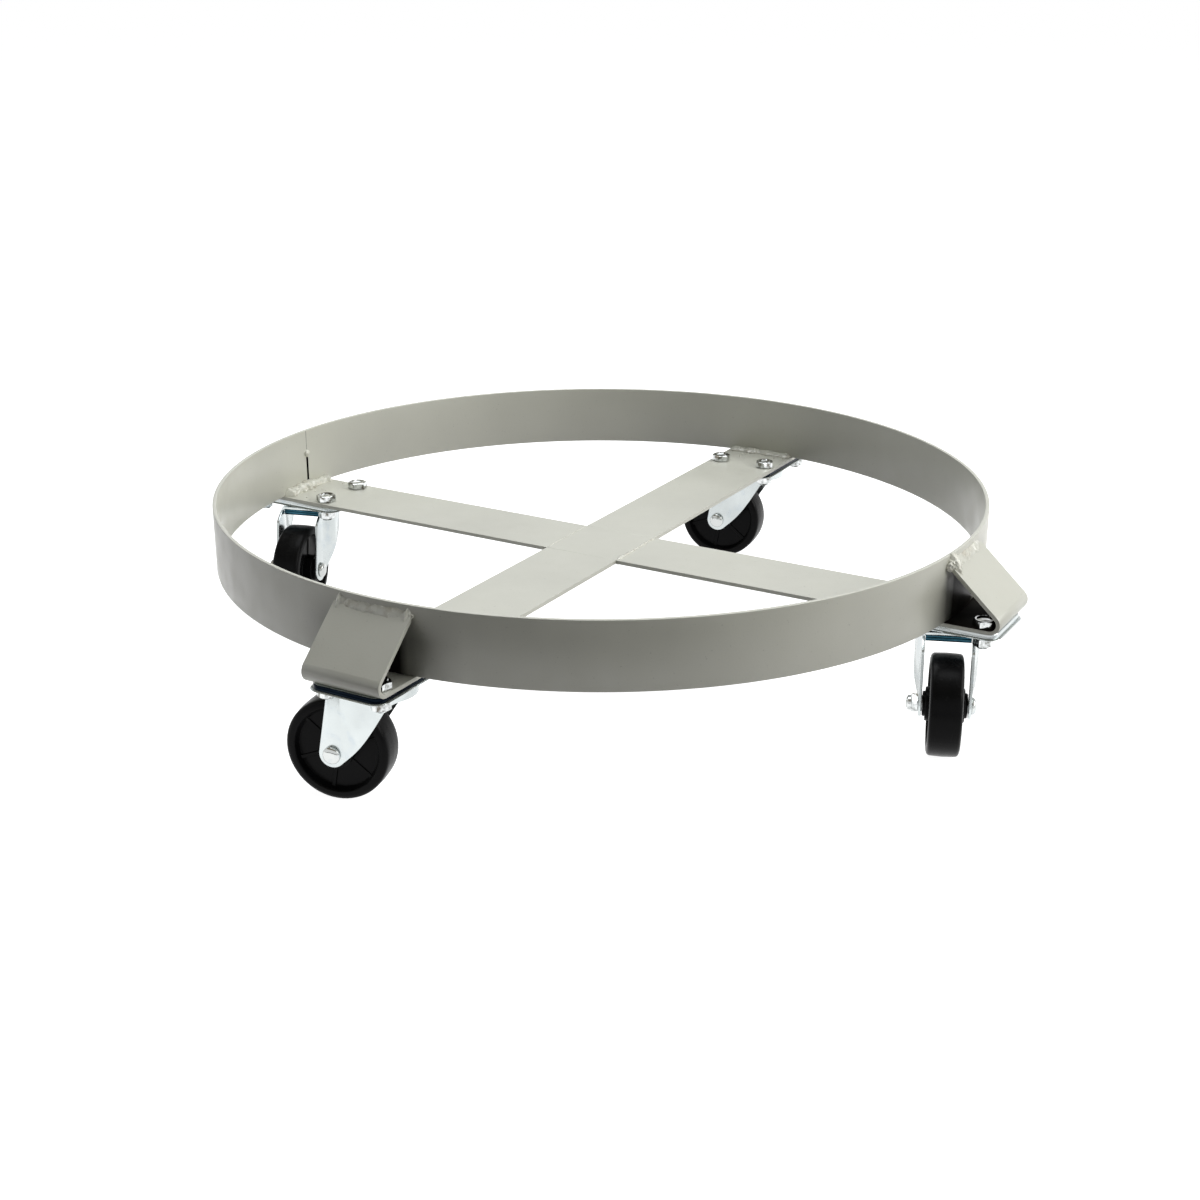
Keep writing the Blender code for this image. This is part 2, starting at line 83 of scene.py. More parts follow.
# A bar is cut across this far inside the ring's outer wall, where the wall hides the cut
UNDER_RING = 0.0025


# -------- camera, light and floor

CAMERA_PLACE = (-0.3664, -1.3673, 0.5848)
CAMERA_TILT = radians(69.36)
CAMERA_TURN = radians(-14.97)
CAMERA_LENS = 55.45

# Each area light's azimuth, elevation, distance, width, height, power and colour
LIGHTS = {
    "key": (-27.0, 28.0, 2.6, 2.0, 1.4, 45.0, (1.0, 1.0, 0.97)),
    "top": (70.0, 72.0, 2.4, 2.6, 2.6, 62.0, (0.95, 0.975, 1.0)),
}

# What gloss sees of the room, from the horizon up: height and colour
ROOM = (
    (0.00, (0.95, 0.95, 0.95)), (0.46, (0.95, 0.95, 0.95)), (0.60, (0.22, 0.20, 0.16)),
    (0.80, (0.30, 0.27, 0.22)), (1.00, (0.45, 0.45, 0.45)),
)
WORLD_FILL = 0.03

# The floor in gloss is a painted pool of light that brightens along FLOOR_WAY, with a painted shadow of the ring
# that lifts from inside the ring to outside it.
# Each row is where that begins, where it ends, and the brightness at both.
FLOOR_WAY = (0.26, 0.965, 0.0)
FLOOR_POOL = (-0.70, -0.54, 0.25, 1.40)
FLOOR_RING_SHADOW = (0.285, 0.345, 0.86, 1.0)
FLOOR_SIZE = 15.0
FLOOR_PAPER = 0.50
FLOOR_GLOW = 0.97
FLOOR_BOUNCE = 0.15


def make_camera():
    data = bpy.data.cameras.new("camera")
    data.lens = CAMERA_LENS
    data.sensor_width = 36.0
    data.clip_end = 60.0
    camera = bpy.data.objects.new("camera", data)
    bpy.context.collection.objects.link(camera)
    camera.location = CAMERA_PLACE
    camera.rotation_euler = (CAMERA_TILT, 0.0, CAMERA_TURN)
    bpy.context.scene.camera = camera


def area_light(name, azimuth, elevation, distance, width, height, power, colour):
    """A rectangle of light that faces the middle of the cross."""
    data = bpy.data.lights.new(name, "AREA")
    data.shape = "RECTANGLE"
    data.size = width
    data.size_y = height
    data.energy = power
    data.color = colour
    light = bpy.data.objects.new(name, data)
    bpy.context.collection.objects.link(light)
    turn, rise = radians(azimuth), radians(elevation)
    away = Vector((cos(turn) * cos(rise), sin(turn) * cos(rise), sin(rise)))
    light.location = away * distance + UP * SEAT_Z
    light.rotation_mode = "QUATERNION"
    light.rotation_quaternion = away.to_track_quat("Z", "Y")


def link(tree, source, target):
    tree.links.new(source, target)


def add(tree, kind):
    return tree.nodes.new("ShaderNode" + kind)


def put(node, socket, value):
    node.inputs[socket].default_value = value


def grey(value):
    return (value, value, value, 1.0)


def make_world():
    """A white backdrop under a dark warm ceiling for gloss, and a weak even fill for soft light."""
    world = bpy.data.worlds.new("room")
    bpy.context.scene.world = world
    world.use_nodes = True
    tree = world.node_tree
    tree.nodes.clear()
    path = add(tree, "LightPath")
    way = add(tree, "TexCoord")
    parts = add(tree, "SeparateXYZ")
    room = add(tree, "ValToRGB")
    points = room.color_ramp.elements
    while len(points) < len(ROOM):
        points.new(0.5)
    for point, (height, colour) in zip(points, ROOM):
        point.position = height
        point.color = (*colour, 1.0)
    fill = add(tree, "Mix")
    fill.data_type = "RGBA"
    fill.inputs[7].default_value = grey(WORLD_FILL)
    white = add(tree, "Mix")
    white.data_type = "RGBA"
    white.inputs[7].default_value = grey(1.0)
    back = add(tree, "Background")
    out = add(tree, "OutputWorld")
    link(tree, way.outputs["Generated"], parts.inputs[0])
    link(tree, parts.outputs["Z"], room.inputs["Fac"])
    link(tree, path.outputs["Is Diffuse Ray"], fill.inputs[0])
    link(tree, room.outputs["Color"], fill.inputs[6])
    link(tree, path.outputs["Is Camera Ray"], white.inputs[0])
    link(tree, fill.outputs[2], white.inputs[6])
    link(tree, white.outputs[2], back.inputs["Color"])
    link(tree, back.outputs["Background"], out.inputs["Surface"])


def floor_gloss(tree):
    """How bright the floor reads in gloss: a painted pool of light, fading to the front, and a painted shadow of
    the ring, dimmer inside it.
    """
    where = add(tree, "TexCoord").outputs["Object"]
    depth = add(tree, "VectorMath")
    depth.operation = "DOT_PRODUCT"
    depth.inputs[1].default_value = FLOOR_WAY
    reach = add(tree, "VectorMath")
    reach.operation = "LENGTH"
    pool = add(tree, "MapRange")
    ringed = add(tree, "MapRange")
    for node, low, high, dim, lit in ((pool, *FLOOR_POOL), (ringed, *FLOOR_RING_SHADOW)):
        put(node, "From Min", low)
        put(node, "From Max", high)
        put(node, "To Min", dim)
        put(node, "To Max", lit)
    both = add(tree, "Math")
    both.operation = "MULTIPLY"
    link(tree, where, depth.inputs[0])
    link(tree, where, reach.inputs[0])
    link(tree, depth.outputs["Value"], pool.inputs["Value"])
    link(tree, reach.outputs["Value"], ringed.inputs["Value"])
    link(tree, pool.outputs["Result"], both.inputs[0])
    link(tree, ringed.outputs["Result"], both.inputs[1])
    return both.outputs["Value"]


def make_floor():
    """A pale paper floor.  It reads bright in gloss and sends only a little light back up."""
    shape = bmesh.new()
    bmesh.ops.create_grid(shape, x_segments=1, y_segments=1, size=FLOOR_SIZE)
    mesh = bpy.data.meshes.new("floor")
    shape.to_mesh(mesh)
    shape.free()
    floor = bpy.data.objects.new("floor", mesh)
    bpy.context.collection.objects.link(floor)
    made = bpy.data.materials.new("paper")
    made.use_nodes = True
    tree = made.node_tree
    tree.nodes.clear()
    path = add(tree, "LightPath")
    pale = add(tree, "BsdfDiffuse")
    put(pale, "Color", grey(FLOOR_PAPER))
    glow = add(tree, "Emission")
    put(glow, "Strength", FLOOR_GLOW)
    lit = add(tree, "AddShader")
    dim = add(tree, "BsdfDiffuse")
    put(dim, "Color", grey(FLOOR_BOUNCE))
    seen = add(tree, "Emission")
    link(tree, floor_gloss(tree), seen.inputs["Strength"])
    soft = add(tree, "MixShader")
    mix = add(tree, "MixShader")
    out = add(tree, "OutputMaterial")
    link(tree, pale.outputs[0], lit.inputs[0])
    link(tree, glow.outputs[0], lit.inputs[1])
    link(tree, path.outputs["Is Diffuse Ray"], soft.inputs[0])
    link(tree, lit.outputs[0], soft.inputs[1])
    link(tree, dim.outputs[0], soft.inputs[2])
    link(tree, path.outputs["Is Glossy Ray"], mix.inputs[0])
    link(tree, soft.outputs[0], mix.inputs[1])
    link(tree, seen.outputs[0], mix.inputs[2])
    link(tree, mix.outputs[0], out.inputs["Surface"])
    mesh.materials.append(made)


def make_stage():
    make_camera()
    make_world()
    make_floor()
    for name, light in LIGHTS.items():
        area_light(name, *light)
    bpy.context.scene.view_settings.view_transform = "Standard"


# -------- materials

PAINT = (0.558, 0.556, 0.486)
PAINT_GLOSS = 0.95
HEAT_TINT = (0.34, 0.27, 0.18)
# Near-black and dull: painted shade for the inside of the folds and the seam's slit
FOLD_SHADE = (0.016, 0.014, 0.012)
FOLD_SHADE_GLOSS = 0.05

# Painted shade on the ring's outer wall: near-black inside the folds, and a fainter painted shadow of each fold
# beside it.  The first two rows are distances from an arm's axis, the others heights: where it starts to fade and
# ends.
POCKET_SPREAD = (0.0200, 0.0335)
BESIDE_SPREAD = (0.0310, 0.0680)
POCKET_HEIGHT = (0.1360, 0.1440)
BESIDE_HEIGHT = (0.1280, 0.1500)
BESIDE_SHARE = 0.50
OUTER_FACE = (RING_RADIUS - 0.0009, RING_RADIUS - 0.0004)


class Surface:
    """A principled material with noise on its colour, its roughness and its bump."""

    def __init__(self, name, roughness, metallic=0.0, specular=0.5):
        self.material = bpy.data.materials.new(name)
        self.material.use_nodes = True
        self.tree = self.material.node_tree
        self.shader = self.tree.nodes["Principled BSDF"]
        put(self.shader, "Metallic", metallic)
        put(self.shader, "Specular IOR Level", specular)
        self.place = self.node("TexCoord").outputs["Object"]
        self.spread("Roughness", *roughness)
        self.height = None

    def node(self, kind):
        return add(self.tree, kind)

    def wire(self, source, target):
        self.tree.links.new(source, target)

    def noise(self, scale, detail=3.0, stretch=(1.0, 1.0, 1.0), rough=0.5):
        made = self.node("TexNoise")
        put(made, "Scale", scale)
        put(made, "Detail", detail)
        put(made, "Roughness", rough)
        place = self.place
        if stretch != (1.0, 1.0, 1.0):
            mapping = self.node("Mapping")
            put(mapping, "Scale", stretch)
            self.wire(place, mapping.inputs["Vector"])
            place = mapping.outputs["Vector"]
        self.wire(place, made.inputs["Vector"])
        return made.outputs["Fac"]

    def ranged(self, value, low, high, to_low, to_high):
        made = self.node("MapRange")
        put(made, "From Min", low)
        put(made, "From Max", high)
        put(made, "To Min", to_low)
        put(made, "To Max", to_high)
        self.wire(value, made.inputs["Value"])
        return made.outputs["Result"]

    def spread(self, socket, low, high, scale):
        """Vary a shader value between low and high by noise."""
        self.wire(self.ranged(self.noise(scale, 4.0), 0.3, 0.7, low, high), self.shader.inputs[socket])

    def ramp(self, value, *stops):
        made = self.node("ValToRGB")
        points = made.color_ramp.elements
        while len(points) < len(stops):
            points.new(0.5)
        for point, (position, colour) in zip(points, stops):
            point.position = position
            point.color = (*colour, 1.0)
        self.wire(value, made.inputs["Fac"])
        return made.outputs["Color"]

    def mixed(self, share, first, second):
        """Blend two colours, each a socket or a plain colour, by a share socket."""
        made = self.node("Mix")
        made.data_type = "RGBA"
        self.wire(share, made.inputs[0])
        for socket, colour in ((made.inputs[6], first), (made.inputs[7], second)):
            if isinstance(colour, tuple):
                socket.default_value = (*colour, 1.0)
            else:
                self.wire(colour, socket)
        return made.outputs[2]

    def paint(self, colour):
        self.wire(colour, self.shader.inputs["Base Color"])

    def bump(self, value, distance, strength=1.0):
        made = self.node("Bump")
        put(made, "Strength", strength)
        put(made, "Distance", distance)
        self.wire(value, made.inputs["Height"])
        if self.height is not None:
            self.wire(self.height, made.inputs["Normal"])
        self.height = made.outputs["Normal"]
        self.wire(self.height, self.shader.inputs["Normal"])


def shade(colour, by):
    return tuple(min(1.0, part * by) for part in colour)


def pocket_shade(made):
    """Share of painted shade on the ring: full inside the folds, and a painted shadow fading out beside them."""
    parts = made.node("SeparateXYZ")
    made.wire(made.place, parts.inputs[0])
    x, y, z = parts.outputs

    def maths(operation, first, second=None):
        node = made.node("Math")
        node.operation = operation
        for socket, value in zip(node.inputs, (first, second)):
            if isinstance(value, float):
                socket.default_value = value
            elif value is not None:
                made.wire(value, socket)
        return node.outputs[0]

    # The arms lie on the diagonals, so this is the distance from the nearest arm's axis, times root two
    off = maths("ABSOLUTE", maths("SUBTRACT", maths("ABSOLUTE", x), maths("ABSOLUTE", y)))
    root = sqrt(2.0)
    reach = made.node("VectorMath")
    reach.operation = "LENGTH"
    flat = made.node("CombineXYZ")
    made.wire(x, flat.inputs[0])
    made.wire(y, flat.inputs[1])
    made.wire(flat.outputs[0], reach.inputs[0])
    outside = made.ranged(reach.outputs["Value"], *OUTER_FACE, 0.0, 1.0)
    pocket = made.ranged(off, *(root * edge for edge in POCKET_SPREAD), 1.0, 0.0)
    beside = made.ranged(off, *(root * edge for edge in BESIDE_SPREAD), BESIDE_SHARE, 0.0)
    pocket = maths("MULTIPLY", pocket, made.ranged(z, *POCKET_HEIGHT, 1.0, 0.0))
    beside = maths("MULTIPLY", beside, made.ranged(z, *BESIDE_HEIGHT, 1.0, 0.0))
    return maths("MULTIPLY", maths("MAXIMUM", pocket, beside), outside)


def painted_steel(
    name, colour=PAINT, roughness=(0.30, 0.42, 60.0), pocket_shading=False, tint=0.0, gloss=PAINT_GLOSS
):
    """Satin warm grey: cloudy coat, fine orange peel, small specks and faint rolling waves."""
    made = Surface(name, roughness, specular=gloss)
    cloud = made.ramp(
        made.noise(9.0, 5.0), (0.30, shade(colour, 0.93)), (0.52, colour), (0.72, shade(colour, 1.05))
    )
    speck = made.ranged(made.noise(520.0, 2.0), 0.70, 0.76, 0.0, 0.45)
    coat = made.mixed(speck, cloud, shade(colour, 0.55))
    if tint:
        coat = made.mixed(made.ranged(made.noise(130.0, 3.0), 0.50, 0.68, 0.0, tint), coat, HEAT_TINT)
    # Painted shade: inside the folds the coat turns near-black and loses its gloss, and beside them it darkens as
    # a painted shadow of the fold
    if pocket_shading:
        painted_shade_share = pocket_shade(made)
        coat = made.mixed(painted_shade_share, coat, FOLD_SHADE)
        shine = made.ranged(painted_shade_share, 0.0, 1.0, gloss, FOLD_SHADE_GLOSS)
        made.wire(shine, made.shader.inputs["Specular IOR Level"])
    made.paint(coat)
    made.bump(made.noise(7.0, 1.0), 0.0030, 0.35)
    made.bump(made.noise(650.0, 2.0), 0.00010, 0.5)
    return made.material


def zinc_plate(name, colour, roughness):
    """Bright zinc with a faint blue tint, cloudy from the bath, finely scratched."""
    made = Surface(name, roughness, metallic=1.0)
    cloud = made.ramp(
        made.noise(38.0, 4.0), (0.30, shade(colour, 0.90)), (0.55, colour), (0.75, shade(colour, 1.06))
    )
    tint = made.ranged(made.noise(90.0, 3.0), 0.55, 0.75, 0.0, 0.35)
    made.paint(made.mixed(tint, cloud, shade((0.66, 0.78, 0.90), colour[1])))
    made.bump(made.noise(420.0, 3.0, (1.0, 1.0, 0.12)), 0.00006, 0.5)
    made.bump(made.noise(60.0, 2.0), 0.0004, 0.25)
    return made.material


def bright_zinc():
    """Small fasteners: glossy zinc with dark brown patches, a painted reflection of the dark warm room."""
    made = Surface("bright_zinc", (0.07, 0.16, 90.0), metallic=1.0)
    made.paint(made.ramp(
        made.noise(210.0, 4.0),
        (0.36, (0.13, 0.12, 0.10)), (0.47, (0.50, 0.52, 0.52)), (0.60, (0.74, 0.76, 0.76)),
    ))
    made.bump(made.noise(230.0, 2.0), 0.0005, 0.30)
    made.bump(made.noise(900.0, 3.0), 0.00008, 0.5)
    return made.material


def dark_metal_and_painted_shade(name, colour, roughness):
    """Dark or tinted metal, cloudy and finely grained: the sleeve's own steel, and the painted dark reflection and
    painted shade on plate walls, race cups and the crown's lip.
    """
    made = Surface(name, roughness, metallic=1.0)
    made.paint(made.ramp(
        made.noise(55.0, 4.0), (0.30, shade(colour, 0.6)), (0.55, colour), (0.75, shade(colour, 1.5))
    ))
    made.bump(made.noise(380.0, 3.0), 0.00006, 0.5)
    return made.material


def black_plastic():
    """Hard moulded wheel: near black, soft sheen, turned lines worn into the tread."""
    made = Surface("black_plastic", (0.24, 0.38, 70.0), specular=0.07)
    cloud = made.ramp(
        made.noise(75.0, 4.0), (0.30, (0.0030, 0.0030, 0.0032)), (0.70, (0.0060, 0.0060, 0.0064))
    )
    scuff = made.ranged(made.noise(300.0, 4.0, (1.0, 1.0, 0.25)), 0.62, 0.75, 0.0, 0.4)
    made.paint(made.mixed(scuff, cloud, (0.020, 0.020, 0.021)))
    made.bump(made.noise(900.0, 2.0), 0.00006, 0.5)
    return made.material


# -------- mesh helpers

def to_object(name, shape, material, body, place=None, smooth=40.0):
    """Make a piece from a bmesh, place it, shade it smooth below an angle, and let it ride a body."""
    bmesh.ops.recalc_face_normals(shape, faces=shape.faces)
    mesh = bpy.data.meshes.new(name)
    shape.to_mesh(mesh)
    shape.free()
    if place is not None:
        mesh.transform(place)
    mesh.shade_smooth()
    mesh.set_sharp_from_angle(angle=radians(smooth))
    for one in material if isinstance(material, (list, tuple)) else [material]:
        mesh.materials.append(one)
    made = bpy.data.objects.new(name, mesh)
    bpy.context.collection.objects.link(made)
    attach(made, body)
    return made


def skin(shape, rings, closed=False):
    """Join rings of points into a tube: capped at both ends, or closed on itself."""
    rows = [[shape.verts.new(point) for point in ring] for ring in rings]
    pairs = list(zip(rows, rows[1:]))
    if closed:
        pairs.append((rows[-1], rows[0]))
    else:
        shape.faces.new(rows[0])
        shape.faces.new(rows[-1])
    for low, high in pairs:
        for here in range(len(low)):
            after = (here + 1) % len(low)
            shape.faces.new((low[here], low[after], high[after], high[here]))


def skinned(rings, closed=False):
    """A new shape from one skin."""
    shape = bmesh.new()
    skin(shape, rings, closed)
    return shape


def circle(radius, height, sides):
    return [
        Vector((radius * cos(2.0 * pi * step / sides), radius * sin(2.0 * pi * step / sides), height))
        for step in range(sides)
    ]


def swivel_spot(corner):
    """Where a caster's swivel axis meets the floor."""
    x, y, _ = JOINTS["swivel_" + corner + "_turn"]["pos_m"]
    return Vector((x, y, 0.0))


def arm_place(corner):
    """Arm frame: X outwards along the arm, origin on the floor under the ring's centre."""
    spot = swivel_spot(corner)
    return Matrix.Rotation(atan2(spot.y, spot.x), 4, "Z")


def caster_place(corner):
    """Caster frame: X along the trail, +Y towards the axle's head, origin on the floor.

    The trail and the axle's height come with it.
    """
    spot = swivel_spot(corner)
    x, y, height = JOINTS["wheel_" + corner + "_spin"]["pos_m"]
    trail = Vector((x, y, 0.0)) - spot
    turn = atan2(trail.y, trail.x)
    return Matrix.Translation(spot) @ Matrix.Rotation(turn, 4, "Z"), trail.length, height


def hub_place(corner):
    """Caster frame moved to the wheel's centre."""
    place, trail, height = caster_place(corner)
    return place @ Matrix.Translation((trail, 0.0, height))


def local_box(node, place):
    """Box of a CAD node in a local frame."""
    back = place.inverted()
    points = [back @ vertex.co for vertex in NODES[node].data.vertices]
    low = Vector([min(point[axis] for point in points) for axis in range(3)])
    high = Vector([max(point[axis] for point in points) for axis in range(3)])
    return low, high


# -------- weld beads

# The beads of each corner: least and most drop size, pitch of the drops, width and height
ARM_END_BEADS = {
    "fl": (0.70, 1.0, 0.0060, 0.0065, 0.0055),
    "fr": (0.70, 1.0, 0.0065, 0.0065, 0.0050),
    "br": (0.55, 0.95, 0.0100, 0.0085, 0.0042),
    "bl": (0.60, 1.15, 0.0075, 0.0085, 0.0062),
}
FOLD_TOP_BEADS = {
    "fl": (0.70, 1.05, 0.0110, 0.0068, 0.0052),
    "fr": (0.65, 1.10, 0.0080, 0.0055, 0.0042),
    "br": (0.70, 1.0, 0.0070, 0.0050, 0.0040),
    "bl": (0.70, 1.0, 0.0080, 0.0050, 0.0040),
}
# Big drops on a fold's bead, each with its place along the bead, half length and size
FOLD_TOP_LUMPS = {
    "fl": ((0.0025, 0.0034, 1.35), (0.0600, 0.0026, 1.20)),
    "fr": ((0.0030, 0.0048, 2.30), (0.0085, 0.0040, 1.80), (0.0130, 0.0034, 1.35)),
    "br": (),
    "bl": (),
}
# Heaps of weld metal on a fold's upper corner: side, size of a lump and number of lumps
CORNER_BLOBS = {"fr": (-1.0, 0.0034, 6), "fl": (1.0, 0.0015, 3), "bl": (1.0, 0.0018, 3)}
# Least and most drop size of the two beads on the cross
CROSS_DROPS = {"fr": (0.25, 1.0), "bl": (0.10, 0.22)}
# A bead's points per ring and rings along it, how deep its foot is sunk, and the grain of its surface
BEAD_STEPS = 10
BEAD_RINGS = 96
BEAD_SUNK = 0.0009
BEAD_GRAIN = 260.0


def drops(length, pitch, rng, low, high):
    """Overlapping weld drops along a run: centre, half length and size."""
    found = []
    at = rng.uniform(0.2, 0.5) * pitch
    while at < length:
        found.append((at, pitch * rng.uniform(0.85, 1.20), rng.uniform(low, high)))
        at += pitch * rng.uniform(0.75, 1.25)
    return found


def drop_size(found, at, least):
    """Size of a bead at one place: its largest drop there, and never below the least."""
    size = least
    for centre, half, scale in found:
        inside = 1.0 - ((at - centre) / half) ** 2
        if inside > 0.0:
            size = max(size, scale * sqrt(inside))
    return size


def bead(name, stations, span, width, height, found, material, least, rough=0.10):
    """A weld bead.  Each station is a point with the directions that its foot and its crown take."""
    shape = bmesh.new()
    rings = []
    run = 0.0
    last = stations[0][0]
    total = sum((after[0] - here[0]).length for here, after in zip(stations, stations[1:]))
    for point, foot, crown in stations:
        run += (point - last).length
        last = point
        end = min(1.0, max(0.0, min(run, total - run)) / (0.6 * width) + 0.02)
        size = drop_size(found, run, least) * sqrt(end)
        ring = []
        for step in range(BEAD_STEPS + 1):
            angle = radians(span) * step / BEAD_STEPS
            spot = point + foot * (width * size * cos(angle)) + crown * (height * size * sin(angle))
            wobble = noise.fractal(spot * BEAD_GRAIN, 0.8, 2.0, 3) * rough * size
            spot += (foot * cos(angle) * width + crown * sin(angle) * height) * wobble
            ring.append(spot)
        if span > 120.0:
            ring.append(point - foot * width * size * 0.9 - crown * BEAD_SUNK)
            ring.append(point + foot * width * size * 0.9 - crown * BEAD_SUNK)
        else:
            ring.append(point - foot * BEAD_SUNK + crown * height * size * 0.9)
            ring.append(point - foot * BEAD_SUNK - crown * BEAD_SUNK)
            ring.append(point - crown * BEAD_SUNK + foot * width * size * 0.9)
        rings.append(ring)
    skin(shape, rings)
    to_object(name, shape, material, "frame", smooth=75.0)


def line_stations(start, end, foot, crown, spacing=0.0007):
    """Stations of a straight bead."""
    count = max(2, int((end - start).length / spacing))
    return [(start.lerp(end, step / count), foot, crown) for step in range(count + 1)]


def on_ring(local_y, z, inside):
    """A point on the ring's wall in an arm frame, with the outward direction there."""
    radius = RING_INNER if inside else RING_RADIUS
    x = sqrt(radius ** 2 - local_y ** 2)
    out = Vector((x, local_y, 0.0)).normalized()
    return Vector((x, local_y, z)), out


def lean_of_fold(corner, place):
    """Tip of the fold's outer face and the direction that the face leans down and out."""
    node = NODES["cross_bar_long"] if corner in ("fl", "br") else NODES["cross_bar_half_" + corner]
    back = place.inverted()
    points = [back @ vertex.co for vertex in node.data.vertices]
    side = [point for point in points if point.x > 0.0 and point.y > 0.9 * BAR_HALF]
    tip = max(side, key=lambda point: point.z)
    lower = [point for point in side if point.z < tip.z - 0.01]
    far = max(lower, key=lambda point: atan2(point.x - tip.x, tip.z - point.z))
    lean = Vector((far.x - tip.x, 0.0, far.z - tip.z)).normalized()
    return tip, lean


def weld_arm_end(corner, material, rng):
    """The fillet where an arm's top meets the ring's inner wall."""
    place = arm_place(corner)
    low, high, pitch, width, height = ARM_END_BEADS[corner]
    stations = []
    for step in range(BEAD_RINGS + 1):
        y = BAR_HALF * (-1.0 + 2.0 * step / BEAD_RINGS) * 0.985
        point, out = on_ring(y, SEAT_Z, True)
        stations.append((place @ point, place.to_3x3() @ -out, UP))
    found = drops(2.0 * BAR_HALF, pitch, rng, low, high)
    bead("weld_arm_end_" + corner, stations, 90.0, width, height, found, material, least=0.42)


def weld_fold_top(corner, material, rng):
    """The bead that closes the fold's top edge on the ring's outer wall, with its big lumps."""
    place = arm_place(corner)
    low, high, pitch, width, height = FOLD_TOP_BEADS[corner]
    tip, lean = lean_of_fold(corner, place)
    turned = place.to_3x3()
    stations = []
    for step in range(BEAD_RINGS + 1):
        y = BAR_HALF * (-1.0 + 2.0 * step / BEAD_RINGS) * 0.99
        point, _ = on_ring(y, tip.z - 0.0010, False)
        stations.append((place @ point, turned @ lean, UP))
    found = drops(2.0 * BAR_HALF, pitch, rng, low, high) + list(FOLD_TOP_LUMPS[corner])
    bead("weld_fold_top_" + corner, stations, 90.0, width, height, found, material, least=0.55, rough=0.16)


def corner_blob(corner, material, rng):
    """Thick weld metal heaped on one upper corner of a fold, on the ring's outer wall."""
    place = arm_place(corner)
    side, size, count = CORNER_BLOBS[corner]
    tip, _ = lean_of_fold(corner, place)
    shape = bmesh.new()
    for _ in range(count):
        y = side * (BAR_HALF + rng.uniform(-1.6, 0.4) * size)
        spot, out = on_ring(y, tip.z + rng.uniform(-0.6, 0.5) * size, False)
        spot += out * size * rng.uniform(0.1, 0.7)
        radius = size * rng.uniform(0.55, 1.0)
        at = Matrix.Translation(spot)
        lump = bmesh.ops.create_icosphere(shape, subdivisions=4, radius=radius, matrix=at)
        for vertex in lump["verts"]:
            push = noise.fractal(vertex.co * 420.0, 0.9, 2.0, 3) * 0.35
            vertex.co = spot + (vertex.co - spot) * (1.0 + push)
    blob = to_object("weld_blob_" + corner, shape, material, "frame", place, 80.0)


def weld_cross_joint(corner, material, rng):
    """The butt joint of a half bar: a low bead above, a wider one below."""
    place = arm_place(corner)
    turned = place.to_3x3()
    start = place @ Vector((BAR_HALF + 0.0002, -BAR_HALF * 0.97, SEAT_Z))
    end = place @ Vector((BAR_HALF + 0.0002, BAR_HALF * 0.93, SEAT_Z))
    across = turned @ Vector((1.0, 0.0, 0.0))
    found = drops((end - start).length, 0.0055, rng, *CROSS_DROPS[corner])
    stations = line_stations(start, end, across, UP)
    bead("weld_cross_top_" + corner, stations, 180.0, 0.0022, 0.0011, found, material, least=0.16)
    down = -UP * BAR_THICK
    found = drops((end - start).length, 0.0050, rng, 0.7, 1.0)
    stations = line_stations(start + down, end + down, across, -UP)
    bead("weld_cross_under_" + corner, stations, 180.0, 0.0034, 0.0016, found, material, least=0.5)


def weld_seam(material, dark):
    """The ring's closing seam: a thin line above, the drop that ends its open slit, a bead outside."""
    out, along = SEAM_OUT, SEAM_ALONG
    wall = out * RING_INNER
    rng = random.Random(77)
    start, end = wall + UP * (SEAM_TOP + 0.003), wall + UP * (RING_TOP - 0.0004)
    found = drops((end - start).length, 0.004, rng, 0.7, 1.0)
    stations = line_stations(start, end, along, -out)
    bead("seam_line", stations, 180.0, 0.00035, 0.00012, found, dark, least=0.8)
    start, end = wall + UP * (SEAM_TOP - 0.0025), wall + UP * (SEAM_TOP + 0.0045)
    stations = line_stations(start, end, along, -out, 0.0004)
    bead("seam_drop", stations, 180.0, 0.0032, 0.0024, [(0.0035, 0.0044, 1.0)], material, least=0.4)
    outer = out * RING_RADIUS
    start, end = outer + UP * (SEAM_TOP - 0.001), outer + UP * (RING_TOP - 0.001)
    found = drops((end - start).length, 0.0045, rng, 0.75, 1.0)
    stations = line_stations(start, end, along, out)
    bead("seam_outside", stations, 180.0, 0.0030, 0.0011, found, material, least=0.6)


def spatter(corner, material, rng, count):
    """Small drops thrown beside a weld, stuck on the arm and painted over."""
    place = arm_place(corner)
    shape = bmesh.new()
    for _ in range(count):
        y = rng.uniform(-0.9, 0.9) * BAR_HALF
        x = RING_INNER - rng.uniform(0.007, 0.022)
        size = rng.uniform(0.0004, 0.0009)
        spot = place @ Vector((x, y, SEAT_Z + size * 0.1))
        bmesh.ops.create_icosphere(shape, subdivisions=2, radius=size, matrix=Matrix.Translation(spot))
    to_object("spatter_" + corner, shape, material, "frame", smooth=80.0)


def make_welds(paint, dark):
    """All beads, each with its own seeded generator."""
    for number, corner in enumerate(CORNERS):
        weld_arm_end(corner, paint, random.Random(11 + number))
        weld_fold_top(corner, paint, random.Random(31 + number))
        spatter(corner, paint, random.Random(51 + number), 7)
    for number, corner in enumerate(CROSS_DROPS):
        weld_cross_joint(corner, paint, random.Random(71 + number))
    weld_seam(paint, dark)
    for number, corner in enumerate(CORNER_BLOBS):
        corner_blob(corner, paint, random.Random(81 + number))


# -------- bolts and nuts

# Points round every turned piece
FINE = 48

BOLT_SHANK = 0.0040
NUT_FLATS = 0.0130
NUT_RISE = (0.0020, 0.0085)
HEAD_FLATS = 0.0146
HEAD_GAP = 0.0003
THREAD = 0.0006
# A hexagon's corners are rounded off outside this share of its width across flats
CHAMFER = 0.47

